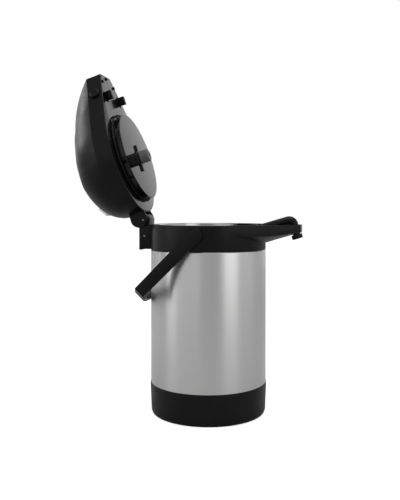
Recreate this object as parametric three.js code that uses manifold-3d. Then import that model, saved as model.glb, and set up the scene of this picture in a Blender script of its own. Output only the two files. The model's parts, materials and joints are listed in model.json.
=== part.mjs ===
// Thermal coffee airpot: a vacuum flask in a black base and collar, with a hinged pump lid,
// a tilting spout pipe in the collar's nose and a bail handle.
// Millimetres, +Z up. The origin is the centre of the underside; the spout points along +X.
// The lid is drawn closed in its own group, which then swings open about the hinge.
// Heights in the drawing start FOOT above the underside; the whole pot is lifted by that at the end.
import * as THREE from 'three';
import { ParametricGeometry } from 'three/addons/geometries/ParametricGeometry.js';
import { mergeVertices } from 'three/addons/utils/BufferGeometryUtils.js';
import Module from 'manifold-3d';

const wasm = await Module();
wasm.setup();

// ---------------------------------------------------------------- driving dimensions
const GAP = 0.3; // clearance between pieces that touch
const BODY_R = 80; // outer radius of the pot
const FOOT = -2.6; // underside of the foot pad, in the drawing's heights
const BASE_TOP = 40; // seam between base cup and steel shell
const SHELL_TOP = 223; // seam between steel shell and collar
const RIM = 257.4; // top of the collar
const MOUTH_R = 66.2; // inner radius of the steel mouth ring
const NECK_R = 63; // inner radius of the flask's neck
const LINER_R = 72; // inner radius of the flask
const LINER_FLOOR = 52.8; // inner floor of the flask
const FLARE = THREE.MathUtils.degToRad(60.2); // where the nose's sides leave the round body
const NOSE_TIP = 129.5; // end of the collar's nose
const LID_TIP = 126.4; // end of the lid's nose
const WALL = 2.4; // moulded wall thickness
const HINGE = new THREE.Vector3(-90.2, 0, 263.3); // lid hinge axis, along Y
const LID_OPEN = THREE.MathUtils.degToRad(108.2);
const LID_BOTTOM = RIM + 0.4; // underside of the closed lid
const BAND_HEIGHT = 22.2; // upright band round the lid
const DOME_HEIGHT = 52.6; // dome above the band
const DOME_POWER = 2.2; // fullness of the dome's curve (2 is an ellipse)
const CREASE = 20; // degrees the dome leans in where it meets the band, along the nose and sides
const TIP_CREASE = 62; // and at the nose's tip
const TIP_SPREAD = 30; // degrees off the nose over which the tip's extra lean dies away
const CREASE_END = [90, 120]; // degrees off the nose between which the crease fades out
const HANDLE_Z = 245; // handle pivot height
const HANDLE_DROP = THREE.MathUtils.degToRad(45); // handle hangs this far below the horizontal
const SPOUT = new THREE.Vector3(73.2, 0, 251); // spout pipe pivot
const SPOUT_RAISE = THREE.MathUtils.degToRad(16.5);
const PIPE_REACH = 45.5; // pivot to elbow
const PIPE_DROP = 23; // elbow to the open end of the pipe
const TUBE_X = 50; // dip tube axis
const VALVE = new THREE.Vector2(-12, -51); // air valve on the lid's underside
const LATCH = new THREE.Vector3(97, 36.6, RIM + 11.5); // latch button centre, left side
const RELEASE = new THREE.Vector3(-88.2, 0, 240.8); // release lever pivot
const EAR = new THREE.Vector2(HINGE.x + 3.2, HINGE.z + 5.5); // centre of the lid's ears, lid shut
const EAR_R = 12.4;
const EAR_Y = [13.3, 17]; // inner and outer face of a hinge ear
const PIN_R = 1.6; // hinge pin
const SIDES = [[1, 'left'], [-1, 'right']];
const ROUND = 36; // segments of a large round wall
const SMALL = 12; // segments of a small round piece

// ---------------------------------------------------------------- materials
const finish = (color, roughness, metalness = 0) => ({ color, roughness, metalness });
const BLACK = finish(0x17171a, 0.4);
const GLOSS = finish(0x0d0d0f, 0.15);
const STEEL = finish(0xb8b8b6, 0.34, 1);
const BRIGHT = finish(0xd4d4d4, 0.12, 1);
const RUBBER = finish(0x222222, 0.8);
const GREY_RUBBER = finish(0x6d6d6d, 0.7);
const CLEAR = finish(0xdad8d0, 0.5);

// ---------------------------------------------------------------- solids
/** Closed geometry to a manifold solid, with shared vertices merged and faces turned outward. */
function solid(geometry) {
  const bare = geometry.clone();
  bare.deleteAttribute('normal');
  bare.deleteAttribute('uv');
  const merged = mergeVertices(bare, 1e-3);
  const at = merged.getAttribute('position');
  const corners = [new THREE.Vector3(), new THREE.Vector3(), new THREE.Vector3()];
  const faces = [];
  let volume = 0;
  for (let i = 0; i < merged.index.count; i += 3) {
    const face = [0, 1, 2].map((k) => merged.index.getX(i + k));
    if (new Set(face).size < 3) continue;
    face.forEach((v, k) => corners[k].fromBufferAttribute(at, v));
    volume += corners[0].dot(corners[1].clone().cross(corners[2]));
    faces.push(face);
  }
  const outward = volume > 0 ? faces : faces.map(([a, b, c]) => [a, c, b]);
  return new wasm.Manifold(new wasm.Mesh({
    numProp: 3,
    vertProperties: Float32Array.from(at.array),
    triVerts: Uint32Array.from(outward.flat()),
  }));
}

/** Manifold solid back to a three.js geometry. */
function geometryOf(body) {
  const mesh = body.getMesh();
  const geometry = new THREE.BufferGeometry();
  geometry.setAttribute('position', new THREE.BufferAttribute(mesh.vertProperties, 3));
  geometry.setIndex(new THREE.BufferAttribute(mesh.triVerts, 1));
  geometry.computeVertexNormals();
  return geometry;
}

const vectors = (points) => points.map(([x, y]) => new THREE.Vector2(x, y));
const joined = (bodies) => bodies.reduce((sum, body) => sum.add(body));

/** Turned body about a vertical axis through (x, y); points are [radius, height]. */
function turned(points, { x = 0, y = 0, z = 0, closed = true, segments = ROUND } = {}) {
  const outline = closed ? [...points, points[0]] : points;
  const lathe = new THREE.LatheGeometry(vectors(outline), segments);
  return solid(lathe.rotateX(Math.PI / 2).translate(x, y, z));
}

/** Upright cylinder from height z0 to z1. */
function post(radius, x, y, z0, z1, segments = SMALL) {
  const cylinder = new THREE.CylinderGeometry(radius, radius, z1 - z0, segments);
  return solid(cylinder.rotateX(Math.PI / 2).translate(x, y, (z0 + z1) / 2));
}

/** Cylinder along Y from y0 to y1. */
function crossPin(radius, x, z, y0, y1, segments = SMALL) {
  const cylinder = new THREE.CylinderGeometry(radius, radius, y1 - y0, segments);
  return solid(cylinder.translate(x, (y0 + y1) / 2, z));
}

/** Cylinder along X from x0 to x1. */
function longPin(radius, x0, x1, y, z, segments = SMALL) {
  const cylinder = new THREE.CylinderGeometry(radius, radius, x1 - x0, segments);
  return solid(cylinder.rotateZ(Math.PI / 2).translate((x0 + x1) / 2, y, z));
}

/** The stretch of Y between two distances from the centre, on the left (1) or the right (-1) side. */
const sideSpan = (side, a, b) => (side > 0 ? [a, b] : [-b, -a]);

/** Box between two corners. */
function block(x0, x1, y0, y1, z0, z1) {
  const box = new THREE.BoxGeometry(x1 - x0, y1 - y0, z1 - z0);
  return solid(box.translate((x0 + x1) / 2, (y0 + y1) / 2, (z0 + z1) / 2));
}

/** Plan outline raised from z0 to z1. */
function raised(shape, z0, z1, curveSegments = 22) {
  const prism = new THREE.ExtrudeGeometry(shape, { depth: z1 - z0, bevelEnabled: false, curveSegments });
  return solid(prism.translate(0, 0, z0));
}

/** Side outline (x, z) carried across from y0 to y1. */
function across(points, y0, y1) {
  const shape = new THREE.Shape(vectors(points));
  const prism = new THREE.ExtrudeGeometry(shape, { depth: y1 - y0, bevelEnabled: false });
  return solid(prism.rotateX(Math.PI / 2).translate(0, y1, 0));
}

/** Teardrop plan outline: round body with straight sides running out to a blunt nose. */
function teardrop(tipX, inset = 0, corner = 3) {
  const r = BODY_R - inset;
  const tip = tipX - inset;
  const sideAt = (x) => (r - x * Math.cos(FLARE)) / Math.sin(FLARE);
  const shape = new THREE.Shape();
  shape.moveTo(tip, sideAt(tip) - corner);
  shape.quadraticCurveTo(tip, sideAt(tip), tip - corner, sideAt(tip - corner));
  shape.lineTo(r * Math.cos(FLARE), r * Math.sin(FLARE));
  shape.absarc(0, 0, r, FLARE, 2 * Math.PI - FLARE, false);
  shape.lineTo(tip - corner, -sideAt(tip - corner));
  shape.quadraticCurveTo(tip, -sideAt(tip), tip, corner - sideAt(tip));
  shape.closePath();
  return shape;
}

/** Coil spring along +X from the origin: a round wire swept along a helix. */
function coil(radius, wire, length, turns, stepsPerTurn = 7) {
  class Helix extends THREE.Curve {
    getPoint(t, target = new THREE.Vector3()) {
      const angle = 2 * Math.PI * turns * t;
      const along = wire + (length - 2 * wire) * t;
      return target.set(along, radius * Math.cos(angle), radius * Math.sin(angle));
    }
  }
  const section = new THREE.Shape();
  section.absarc(0, 0, wire, 0, 2 * Math.PI, false);
  return new THREE.ExtrudeGeometry(section, {
    steps: turns * stepsPerTurn,
    curveSegments: 2,
    extrudePath: new Helix(),
    bevelEnabled: false,
  });
}

/** Named mesh in a group. */
function add(group, name, body, look) {
  const mesh = new THREE.Mesh(geometryOf(body), new THREE.MeshStandardMaterial(look));
  mesh.name = name;
  group.add(mesh);
}

const pot = new THREE.Group();
pot.position.z = -FOOT;

// ---------------------------------------------------------------- base
function buildBase() {
  const padR = 64;
  const cup = turned([
    [0, FOOT + 1], [76.8, FOOT + 1], [78.4, FOOT + 1.8], [79.1, FOOT + 4], [80.7, 36], [80.7, 39.3],
    [80.1, BASE_TOP], [78.9, BASE_TOP], [78.9, 46.5], [76.5, 46.5], [76.5, FOOT + 8], [73.5, FOOT + 5],
    [12, FOOT + 5], [12, 11.5], [0, 11.5],
  ], { closed: false });
  const padRecess = post(padR + GAP, 0, 0, FOOT, FOOT + 2.8, ROUND);
  const counterbore = post(5.3, 0, 0, FOOT + 2, FOOT + 6.3);
  const screwHole = post(2.4, 0, 0, FOOT + 6, 12);
  add(pot, 'base_cup', cup.subtract(padRecess).subtract(counterbore).subtract(screwHole), BLACK);
  const pad = turned([[0, 0], [padR - 1, 0], [padR, 1], [padR, 2.5], [0, 2.5]], { z: FOOT, closed: false });
  add(pot, 'foot_pad', pad, RUBBER);
  const screw = post(5, 0, 0, FOOT + 3, FOOT + 6).add(post(2, 0, 0, FOOT + 5.5, 26));
  add(pot, 'base_screw', screw, BRIGHT);
}

// ---------------------------------------------------------------- vacuum flask
function buildFlask() {
  add(pot, 'outer_shell', turned([
    [BODY_R, BASE_TOP + GAP], [BODY_R, SHELL_TOP - 0.8], [79.4, SHELL_TOP - 0.2], [76.9, SHELL_TOP],
    [76.9, SHELL_TOP + 1.6], [68, 227.4], [64.9, 228.2], [64.9, 231], [64.1, 231], [64.1, 227.5],
    [67.6, 226.6], [76.1, SHELL_TOP + 0.9], [76.1, SHELL_TOP - 1], [79.2, SHELL_TOP - 1.6],
    [79.2, BASE_TOP + GAP],
  ]), STEEL);
  const bottomPlate = turned([
    [0, 13], [8, 13], [8, 47], [78.9, 47], [78.9, 51.5], [78.1, 51.5], [78.1, 48], [0, 48],
  ], { closed: false });
  add(pot, 'shell_bottom', bottomPlate.subtract(post(2.3, 0, 0, 12, 27)), STEEL);
  add(pot, 'inner_liner', turned([
    [0, LINER_FLOOR - 0.8], [64, LINER_FLOOR - 0.8], [70.5, 55.5], [LINER_R + 0.8, 62], [LINER_R + 0.8, 209],
    [NECK_R + 0.8, 221], [NECK_R + 0.8, 231.3], [65, 231.3], [65, 232], [NECK_R, 232], [NECK_R, 220.6],
    [LINER_R, 208.6], [LINER_R, 62.4], [70, 56.2], [63.7, LINER_FLOOR], [0, LINER_FLOOR],
  ], { closed: false }), STEEL);
  add(pot, 'neck_gasket', turned([[63.7, 232.4], [66.9, 232.4], [66.9, 235], [63.7, 235]]), CLEAR);
}

// ---------------------------------------------------------------- collar with its nose
const HULL_R = 110; // radius of the nose's rounded underside
const HULL_TILT = THREE.MathUtils.degToRad(16.4);
const KEEL = new THREE.Vector2(80, 232.2); // where the keel leaves the round body

/** Long tilted cylinder whose lowest line is the nose's keel. */
function hull(radius) {
  const cylinder = new THREE.CylinderGeometry(radius, radius, 400, 48);
  cylinder.rotateZ(Math.PI / 2).rotateY(-HULL_TILT);
  const x = KEEL.x - HULL_R * Math.sin(HULL_TILT);
  return solid(cylinder.translate(x, 0, KEEL.y + HULL_R * Math.cos(HULL_TILT)));
}

/** Upper band of the nose, whose underside rises a little towards the tip. */
const noseBand = (lift) => across([
  [20, 244.9 + lift], [NOSE_TIP + 2, 248.2 + lift], [NOSE_TIP + 2, RIM + 2], [20, RIM + 2],
], -90, 90);

function collarTrough() {
  const inside = raised(teardrop(NOSE_TIP, WALL), 234.6, RIM + 2);
  const floorLine = noseBand(2.2).add(hull(HULL_R - 2.2));
  const front = block(37, 140, -90, 90, 230, RIM + 2);
  return inside.intersect(floorLine).intersect(front).subtract(post(70, 0, 0, 225, RIM + 3, ROUND));
}

function buildCollar() {
  const nose = raised(teardrop(NOSE_TIP), SHELL_TOP + GAP, RIM).intersect(noseBand(0).add(hull(HULL_R)));
  let collar = post(BODY_R, 0, 0, SHELL_TOP + GAP, RIM, 44).add(nose);
  collar = collar.subtract(collarTrough());
  collar = collar.subtract(post(67.3, 0, 0, 232, RIM + 1, ROUND));
  collar = collar.subtract(post(69.1, 0, 0, 256.5, RIM + 1, ROUND));
  collar = collar.subtract(post(65.3, 0, 0, 228, 233, ROUND));
  collar = collar.subtract(post(77.3, 0, 0, 219, 229.5, ROUND));
  const underside = post(77.3, 0, 0, 229, 254.5, ROUND).subtract(post(70, 0, 0, 228, 256, ROUND));
  collar = collar.subtract(underside.intersect(block(-90, 28, -90, 90, 228, 256)));
  collar = collar.subtract(block(60, 81, -12.5, 12.5, 236.2, RIM + 1)); // passage for the stem head
  const nozzleSlot = block(91, NOSE_TIP - 0.7, -9, 9, 231, 252);
  collar = collar.subtract(nozzleSlot);
  for (const side of [-1, 1]) {
    const ledge = block(83, 97, ...sideSpan(side, 31.9, 60), 249.5, 252);
    collar = collar.add(ledge.intersect(raised(teardrop(NOSE_TIP, 1), 240, RIM)));
    collar = collar.subtract(crossPin(3.8, 0, HANDLE_Z, ...sideSpan(side, 72, 82)));
  }
  for (const z of [238, 250]) collar = collar.subtract(longPin(1.9, -82, -76, 0, z));
  add(pot, 'collar', collar, BLACK);

  const ringWall = turned([
    [63.7, 235.3], [67, 235.3], [67, 256.8], [68.8, 256.8], [68.8, RIM], [MOUTH_R, RIM], [MOUTH_R, 236.1],
    [63.7, 236.1],
  ]);
  const sector = new THREE.Shape();
  sector.moveTo(0, 0);
  sector.absarc(0, 0, 90, -FLARE, FLARE, false);
  sector.closePath();
  const frontCut = raised(sector, 249, RIM + 1, 12);
  const headCut = block(55, 70, -12.7, 12.7, 236.15, RIM + 1);
  add(pot, 'mouth_ring', ringWall.subtract(frontCut).subtract(headCut), BRIGHT);
}

// ---------------------------------------------------------------- hinge and release lever
function buildHinge() {
  const outerY = EAR_Y[1];
  const slotY = EAR_Y[0];
  const lugY = slotY - 0.5;
  const earRoomR = EAR_R + 0.5;
  const sweepSteps = 9;
  let bracket = block(-96, -78, -outerY, outerY, 222.6, 255);
  bracket = bracket.add(across([[-97, 254.5], [-82, 254.5], [-82, HINGE.z], [-97, HINGE.z]], -lugY, lugY));
  bracket = bracket.add(crossPin(8.2, HINGE.x, HINGE.z, -lugY, lugY));
  bracket = bracket.subtract(post(BODY_R + GAP, 0, 0, 200, 257, 80));
  bracket = bracket.subtract(block(-100, -84, -slotY, slotY, 220, 247.5));
  const earOffset = new THREE.Vector2(EAR.x - HINGE.x, EAR.y - HINGE.z);
  for (let step = 0; step <= sweepSteps; step += 1) {
    const at = earOffset.clone().rotateAround(new THREE.Vector2(), (LID_OPEN * step) / sweepSteps);
    for (const side of [-1, 1]) {
      const room = crossPin(earRoomR, HINGE.x + at.x, HINGE.z + at.y, ...sideSpan(side, lugY + 0.1, 20));
      bracket = bracket.subtract(room);
    }
  }
  bracket = bracket.subtract(crossPin(PIN_R + GAP, HINGE.x, HINGE.z, -20, 20));
  bracket = bracket.subtract(crossPin(1.7, RELEASE.x, RELEASE.z, -20, 20));
  for (const z of [238, 250]) bracket = bracket.subtract(longPin(1.9, -84.5, -76, 0, z));
  add(pot, 'hinge_block', bracket, BLACK);
  add(pot, 'hinge_pin', crossPin(PIN_R, HINGE.x, HINGE.z, -17.5, 17.5), BRIGHT);
  add(pot, 'release_pin', crossPin(1.4, RELEASE.x, RELEASE.z, -17.3, 17.3), BRIGHT);
  [['hinge_screw_lower', 238], ['hinge_screw_upper', 250]].forEach(([name, z]) => {
    add(pot, name, longPin(3.4, -76.8, -74.6, 0, z).add(longPin(1.6, -83.4, -76, 0, z)), BRIGHT);
  });

  const tiltable = new THREE.Group();
  tiltable.position.copy(RELEASE);
  let lever = block(-7.6, -4.4, -12.8, 12.8, -16.8, 5.2);
  lever = lever.add(block(-5, 3.2, -12.8, 12.8, -3.2, 3.2));
  lever = lever.add(block(-9.2, -4.4, -12.8, 12.8, -19.6, -16.4));
  lever = lever.subtract(crossPin(1.7, 0, 0, -20, 20));
  lever = lever.subtract(longPin(3.9, -3.5, 5, 0, -2.8));
  add(tiltable, 'release_lever', lever, BLACK);
  const spring = coil(2.3, 0.4, 8.2, 3).translate(-4.1, 0, -11);
  add(tiltable, 'release_spring', solid(spring), BRIGHT);
  pot.add(tiltable);
}

// ---------------------------------------------------------------- handle
function buildHandle() {
  const armOut = 88;
  const armIn = 82.2;
  const armEnd = 106;
  const bow = 22; // the grip bows out by this much past the arms
  const gripThick = 6.5;
  const half = armOut - 4;
  const bowR = (half * half + bow * bow) / (2 * bow);
  const centre = armEnd + bow - bowR;
  const spread = Math.asin(half / bowR);
  const innerSpread = Math.asin(79 / (bowR - gripThick));
  const outline = new THREE.Shape();
  outline.moveTo(-9.5, -armOut);
  outline.lineTo(armEnd - 4, -armOut);
  outline.quadraticCurveTo(armEnd, -armOut, armEnd, -half);
  outline.absarc(centre, 0, bowR, -spread, spread, false);
  outline.quadraticCurveTo(armEnd, armOut, armEnd - 4, armOut);
  outline.lineTo(-9.5, armOut);
  outline.lineTo(-9.5, armIn);
  outline.lineTo(armEnd - 9, armIn);
  outline.absarc(centre, 0, bowR - gripThick, innerSpread, -innerSpread, true);
  outline.lineTo(armEnd - 9, -armIn);
  outline.lineTo(-9.5, -armIn);
  outline.closePath();

  const side = new THREE.Shape();
  const pivotHalf = 8.85;
  const gripHalf = 7.6;
  side.absarc(0, 0, pivotHalf, Math.PI / 2, 1.5 * Math.PI, false);
  side.lineTo(armEnd + bow + 1, -gripHalf);
  side.lineTo(armEnd + bow + 1, gripHalf);
  side.closePath();
  const sideBody = new THREE.ExtrudeGeometry(side, { depth: 200, bevelEnabled: false, curveSegments: 8 });
  sideBody.rotateX(Math.PI / 2).translate(0, 100, 0);

  const hanging = new THREE.Group();
  hanging.position.set(0, 0, HANDLE_Z);
  hanging.rotation.y = Math.PI - HANDLE_DROP;
  let bail = raised(outline, -10, 10, 14).intersect(solid(sideBody));
  bail = bail.subtract(crossPin(4, 0, 0, -86, -80)).subtract(crossPin(4, 0, 0, 80, 86));
  add(hanging, 'handle', bail, BLACK);
  pot.add(hanging);

  for (const [sign, label] of SIDES) {
    const shank = crossPin(3.5, 0, HANDLE_Z, ...sideSpan(sign, 75, 85.6));
    const head = crossPin(6.5, 0, HANDLE_Z, ...sideSpan(sign, 73.6, 75.9));
    add(pot, `handle_pin_${label}`, shank.add(head), BRIGHT);
    const disc = crossPin(8, 0, HANDLE_Z, ...sideSpan(sign, 80.3, 81.9));
    const hole = crossPin(3.8, 0, HANDLE_Z, ...sideSpan(sign, 79, 83));
    add(pot, `handle_washer_${label}`, disc.subtract(hole), CLEAR);
  }
}

// ---------------------------------------------------------------- dip tube, stem head and spout
const DUCT_Z = 240; // passage from the dip tube out to the spout pivot

function buildSpout() {
  let head = post(8.2, TUBE_X, 0, 222, 243.2).add(block(48, 67, -8.2, 8.2, 236.5, 243.2));
  head = head.add(block(50, 62, -20, 20, 236.5, 239.4));
  head = head.add(block(66.4, 79.6, -11.9, 11.9, 238.2, 256.6));
  head = head.subtract(block(64, 81, -8.4, 8.4, 243.6, 258));
  head = head.subtract(post(5.8, TUBE_X, 0, 221, 236));
  head = head.subtract(post(2.6, TUBE_X, 0, 235, DUCT_Z));
  head = head.subtract(longPin(2.6, TUBE_X, SPOUT.x, 0, DUCT_Z));
  head = head.subtract(post(2.6, SPOUT.x, 0, DUCT_Z, 244));
  head = head.subtract(crossPin(2.7, SPOUT.x, SPOUT.z, -13, 13));
  add(pot, 'stem_head', head, BLACK);
  const onTube = { x: TUBE_X, segments: SMALL };
  add(pot, 'dip_tube', turned([[5.5, 62], [5.5, 235.6], [4.3, 235.6], [4.3, 62]], onTube), CLEAR);
  const foot = turned([[7, 54], [7, 70], [5.8, 70], [5.8, 61.5], [4.3, 61.5], [4.3, 54]], onTube);
  const notches = block(TUBE_X - 9, TUBE_X + 9, -1.5, 1.5, 53, 57)
    .add(block(TUBE_X - 1.5, TUBE_X + 1.5, -9, 9, 53, 57));
  add(pot, 'tube_foot', foot.subtract(notches), CLEAR);

  const tilted = new THREE.Group();
  tilted.position.copy(SPOUT);
  tilted.rotation.y = -SPOUT_RAISE;
  const pipeR = 6.5;
  const elbow = new THREE.SphereGeometry(pipeR, 16, 8).rotateX(Math.PI / 2).translate(PIPE_REACH, 0, 0);
  let pipe = crossPin(6.2, 0, 0, -8.1, 8.1, 16).add(crossPin(2.4, 0, 0, -11.2, 11.2));
  pipe = pipe.add(longPin(pipeR, 3, PIPE_REACH, 0, 0, 16)).add(solid(elbow));
  pipe = pipe.add(post(5, PIPE_REACH, 0, -PIPE_DROP, 0));
  pipe = pipe.subtract(longPin(4, 0, PIPE_REACH, 0, 0)).subtract(post(3.4, PIPE_REACH, 0, -PIPE_DROP - 1, 0));
  pipe = pipe.subtract(post(2.8, 0, 0, -8, 0));
  add(tilted, 'spout_pipe', pipe, BLACK);
  add(tilted, 'nozzle_cap', turned([
    [5.3, 2.2], [7, 2.2], [7.5, 1.4], [7.5, -3], [6.7, -3.8], [4, -3.8], [4, -GAP], [5.3, -GAP],
  ], { x: PIPE_REACH, z: -PIPE_DROP, segments: 16 }), BLACK);
  pot.add(tilted);
}

// ---------------------------------------------------------------- lid
/** Distance from the lid's centre to its plan outline, in a direction. */
function lidRadius(angle, inset) {
  const off = Math.abs(Math.atan2(Math.sin(angle), Math.cos(angle)));
  const r = BODY_R - inset;
  if (off >= FLARE) return r;
  return Math.min(r / Math.cos(FLARE - off), (LID_TIP - inset) / Math.cos(off));
}

/** Directions at which the lid is sampled, with one at each corner of its outline. */
function lidDirections() {
  const corner = Math.atan2((BODY_R - LID_TIP * Math.cos(FLARE)) / Math.sin(FLARE), LID_TIP);
  const stretch = (a, b, n) => Array.from({ length: n }, (_, i) => a + ((b - a) * i) / n);
  const half = [...stretch(0, corner, 2), ...stretch(corner, FLARE, 5), ...stretch(FLARE, Math.PI, 11)];
  return [...half, Math.PI, ...half.slice(1).reverse().map((a) => 2 * Math.PI - a), 2 * Math.PI];
}

/** How far the dome leans in where it meets the band, in a direction. */
function creaseAngle(angle) {
  const off = THREE.MathUtils.radToDeg(Math.abs(Math.atan2(Math.sin(angle), Math.cos(angle))));
  const [fadeStart, fadeEnd] = CREASE_END;
  const along = CREASE * THREE.MathUtils.clamp((fadeEnd - off) / (fadeEnd - fadeStart), 0, 1);
  const tip = (TIP_CREASE - CREASE) * Math.max(1 - off / TIP_SPREAD, 0);
  return THREE.MathUtils.degToRad(along + tip);
}

/** Filled lid: an upright band under a dome. */
function lidBody(inset, bottom, domeSteps) {
  const directions = lidDirections();
  const bandTop = LID_BOTTOM + BAND_HEIGHT;
  const rows = domeSteps + 2;
  const point = (u, v, target) => {
    const angle = directions[Math.round(u * (directions.length - 1))];
    const reach = lidRadius(angle, inset);
    const row = Math.round(v * rows);
    let r = reach;
    let z = bottom;
    if (row <= domeSteps) {
      const crease = creaseAngle(angle);
      const bend = 2 / DOME_POWER;
      const turn = Math.PI / 2 - (Math.PI / 2 - crease) * (row / domeSteps);
      const start = Math.sin(crease) ** bend;
      r = reach * Math.max(Math.cos(turn) / Math.cos(crease), 0) ** bend;
      z = bandTop + ((DOME_HEIGHT - inset) * (Math.sin(turn) ** bend - start)) / (1 - start);
    } else if (row === rows) {
      r = 0;
    }
    if (row === 0) r = 0;
    target.set(r * Math.cos(angle), r * Math.sin(angle), z);
  };
  return solid(new ParametricGeometry(point, directions.length - 1, rows));
}

const SCREWS = [[121.7, 0], [111.6, 22.7], [114.4, -21]]; // lid plate screws, lid shut
const LOCK_R = 60; // distance of the pump lock from the lid's centre
const LOCK_HALF = new THREE.Vector2(8, 11); // half the lock's length and width
const LOCK_RISE = 2.6; // how far it stands above the dome
const LOCK_SLOPE = THREE.MathUtils.degToRad(35); // tilt of the dome at the pump lock
const BUTTON_R = 30.6;
const BUTTON_Z = LID_BOTTOM + BAND_HEIGHT + DOME_HEIGHT - 0.4; // top of the pump button
const HOOK_X = [84.5, 96.5]; // latch hooks, along the pot
const DISC_LOW = -12; // underside of the lid's disc, below the rim

function buildLidShell(lid) {
  let shell = lidBody(0, LID_BOTTOM, 7).subtract(lidBody(WALL, LID_BOTTOM - 1, 4));
  const filled = lidBody(1, LID_BOTTOM, 4);
  for (const [x, y] of SCREWS) {
    const boss = post(3.6, x, y, LID_BOTTOM + 3.1, RIM + 60, 12).subtract(post(1.5, x, y, RIM, RIM + 12, 12));
    shell = shell.add(boss.intersect(filled));
  }
  shell = shell.subtract(post(BUTTON_R + 0.6, 0, 0, BUTTON_Z - 20, BUTTON_Z + 10, 32));
  shell = shell.subtract(raised(teardrop(LID_TIP, 1.1), LID_BOTTOM - 1, LID_BOTTOM + 2.7));
  const ear = crossPin(EAR_R, EAR.x, EAR.y, ...EAR_Y, 24)
    .add(block(-89, -78.9, ...EAR_Y, LID_BOTTOM, EAR.y + EAR_R - 0.1))
    .subtract(post(BODY_R - WALL, 0, 0, LID_BOTTOM - 1, LID_BOTTOM + 40, ROUND));
  const ears = ear.add(ear.mirror([0, 1, 0]));
  shell = shell.add(ears).subtract(crossPin(PIN_R + GAP, HINGE.x, HINGE.z, -20, 20));
  for (const side of [-1, 1]) shell = shell.subtract(latchBore(side, 7.9, -12, 12));
  add(lid, 'lid_shell', shell, BLACK);
}

/** Cylinder square to the nose's side wall at the latch button, from depth a to b along its axis. */
function latchBore(side, radius, a, b) {
  const cylinder = new THREE.CylinderGeometry(radius, radius, b - a, 16);
  cylinder.translate(0, (a + b) / 2, 0).rotateZ(side > 0 ? FLARE - Math.PI / 2 : -FLARE - Math.PI / 2);
  return solid(cylinder.translate(LATCH.x, side * LATCH.y, LATCH.z));
}

function buildLidUnderside(lid) {
  let plate = raised(teardrop(LID_TIP, 1.4), LID_BOTTOM, LID_BOTTOM + 2.4);
  plate = plate.subtract(post(57, 0, 0, RIM, RIM + 5, 32));
  for (const [x, y] of SCREWS) plate = plate.subtract(post(1.6, x, y, RIM, RIM + 5, 12));
  for (const side of [-1, 1]) {
    const slot = block(HOOK_X[0] - 2, HOOK_X[1] + 1, ...sideSpan(side, 20, 32.7), RIM, RIM + 5);
    const springWall = block(86, 94, ...sideSpan(side, 11, 14.6), LID_BOTTOM + 1, RIM + 16);
    plate = plate.subtract(slot).add(springWall);
  }
  add(lid, 'lid_plate', plate, GLOSS);
  SCREWS.forEach(([x, y], i) => {
    const head = post(2.3, x, y, LID_BOTTOM - 1.8, LID_BOTTOM - GAP);
    const shank = post(1.2, x, y, LID_BOTTOM - 1, RIM + 10);
    add(lid, `plate_screw_${i + 1}`, head.add(shank), BLACK);
  });

  let disc = turned([
    [0, DISC_LOW], [62.2, DISC_LOW], [63, DISC_LOW + 0.8], [63, 0.1], [60, 0.1], [60, DISC_LOW + 4],
    [59, DISC_LOW + 3], [0, DISC_LOW + 3],
  ], { z: RIM, closed: false });
  disc = disc.subtract(post(5, VALVE.x, VALVE.y, RIM - 14, RIM - 8));
  disc = disc.subtract(post(4, 0, 0, RIM - 14, RIM - 8));
  add(lid, 'lid_disc', disc, GLOSS);
  add(lid, 'disc_gasket', turned([
    [63.3, -3.4], [64.9, -3.4], [65.6, -2], [64.9, -0.6], [63.3, -0.6],
  ], { z: RIM }), RUBBER);

  const at = { x: VALVE.x, y: VALVE.y, z: RIM, segments: SMALL };
  add(lid, 'valve_body', turned([
    [2, -34], [4.5, -34], [4.5, -27.3], [6, -27.3], [6, -21.7], [9, -21.7], [9, -12.3], [4.7, -12.3],
    [4.7, -8.6], [6.2, -8.6], [6.2, -6.8], [2, -6.8],
  ], at), BLACK);
  add(lid, 'valve_tip', turned([
    [4.8, -27.7], [8, -27.7], [8.6, -28.5], [8.6, -39], [7.6, -40], [2.8, -40], [2.8, -34.3], [4.8, -34.3],
  ], at), GREY_RUBBER);
  const ring = turned([[6.3, -27], [10.5, -27], [10.5, -22], [6.3, -22]], at);
  const wings = block(-18.5, 18.5, -2.6, 2.6, -26.4, -22.6).subtract(post(8, 0, 0, -30, -20));
  add(lid, 'valve_ring', ring.add(wings.translate([VALVE.x, VALVE.y, RIM])), BLACK);
}

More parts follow.
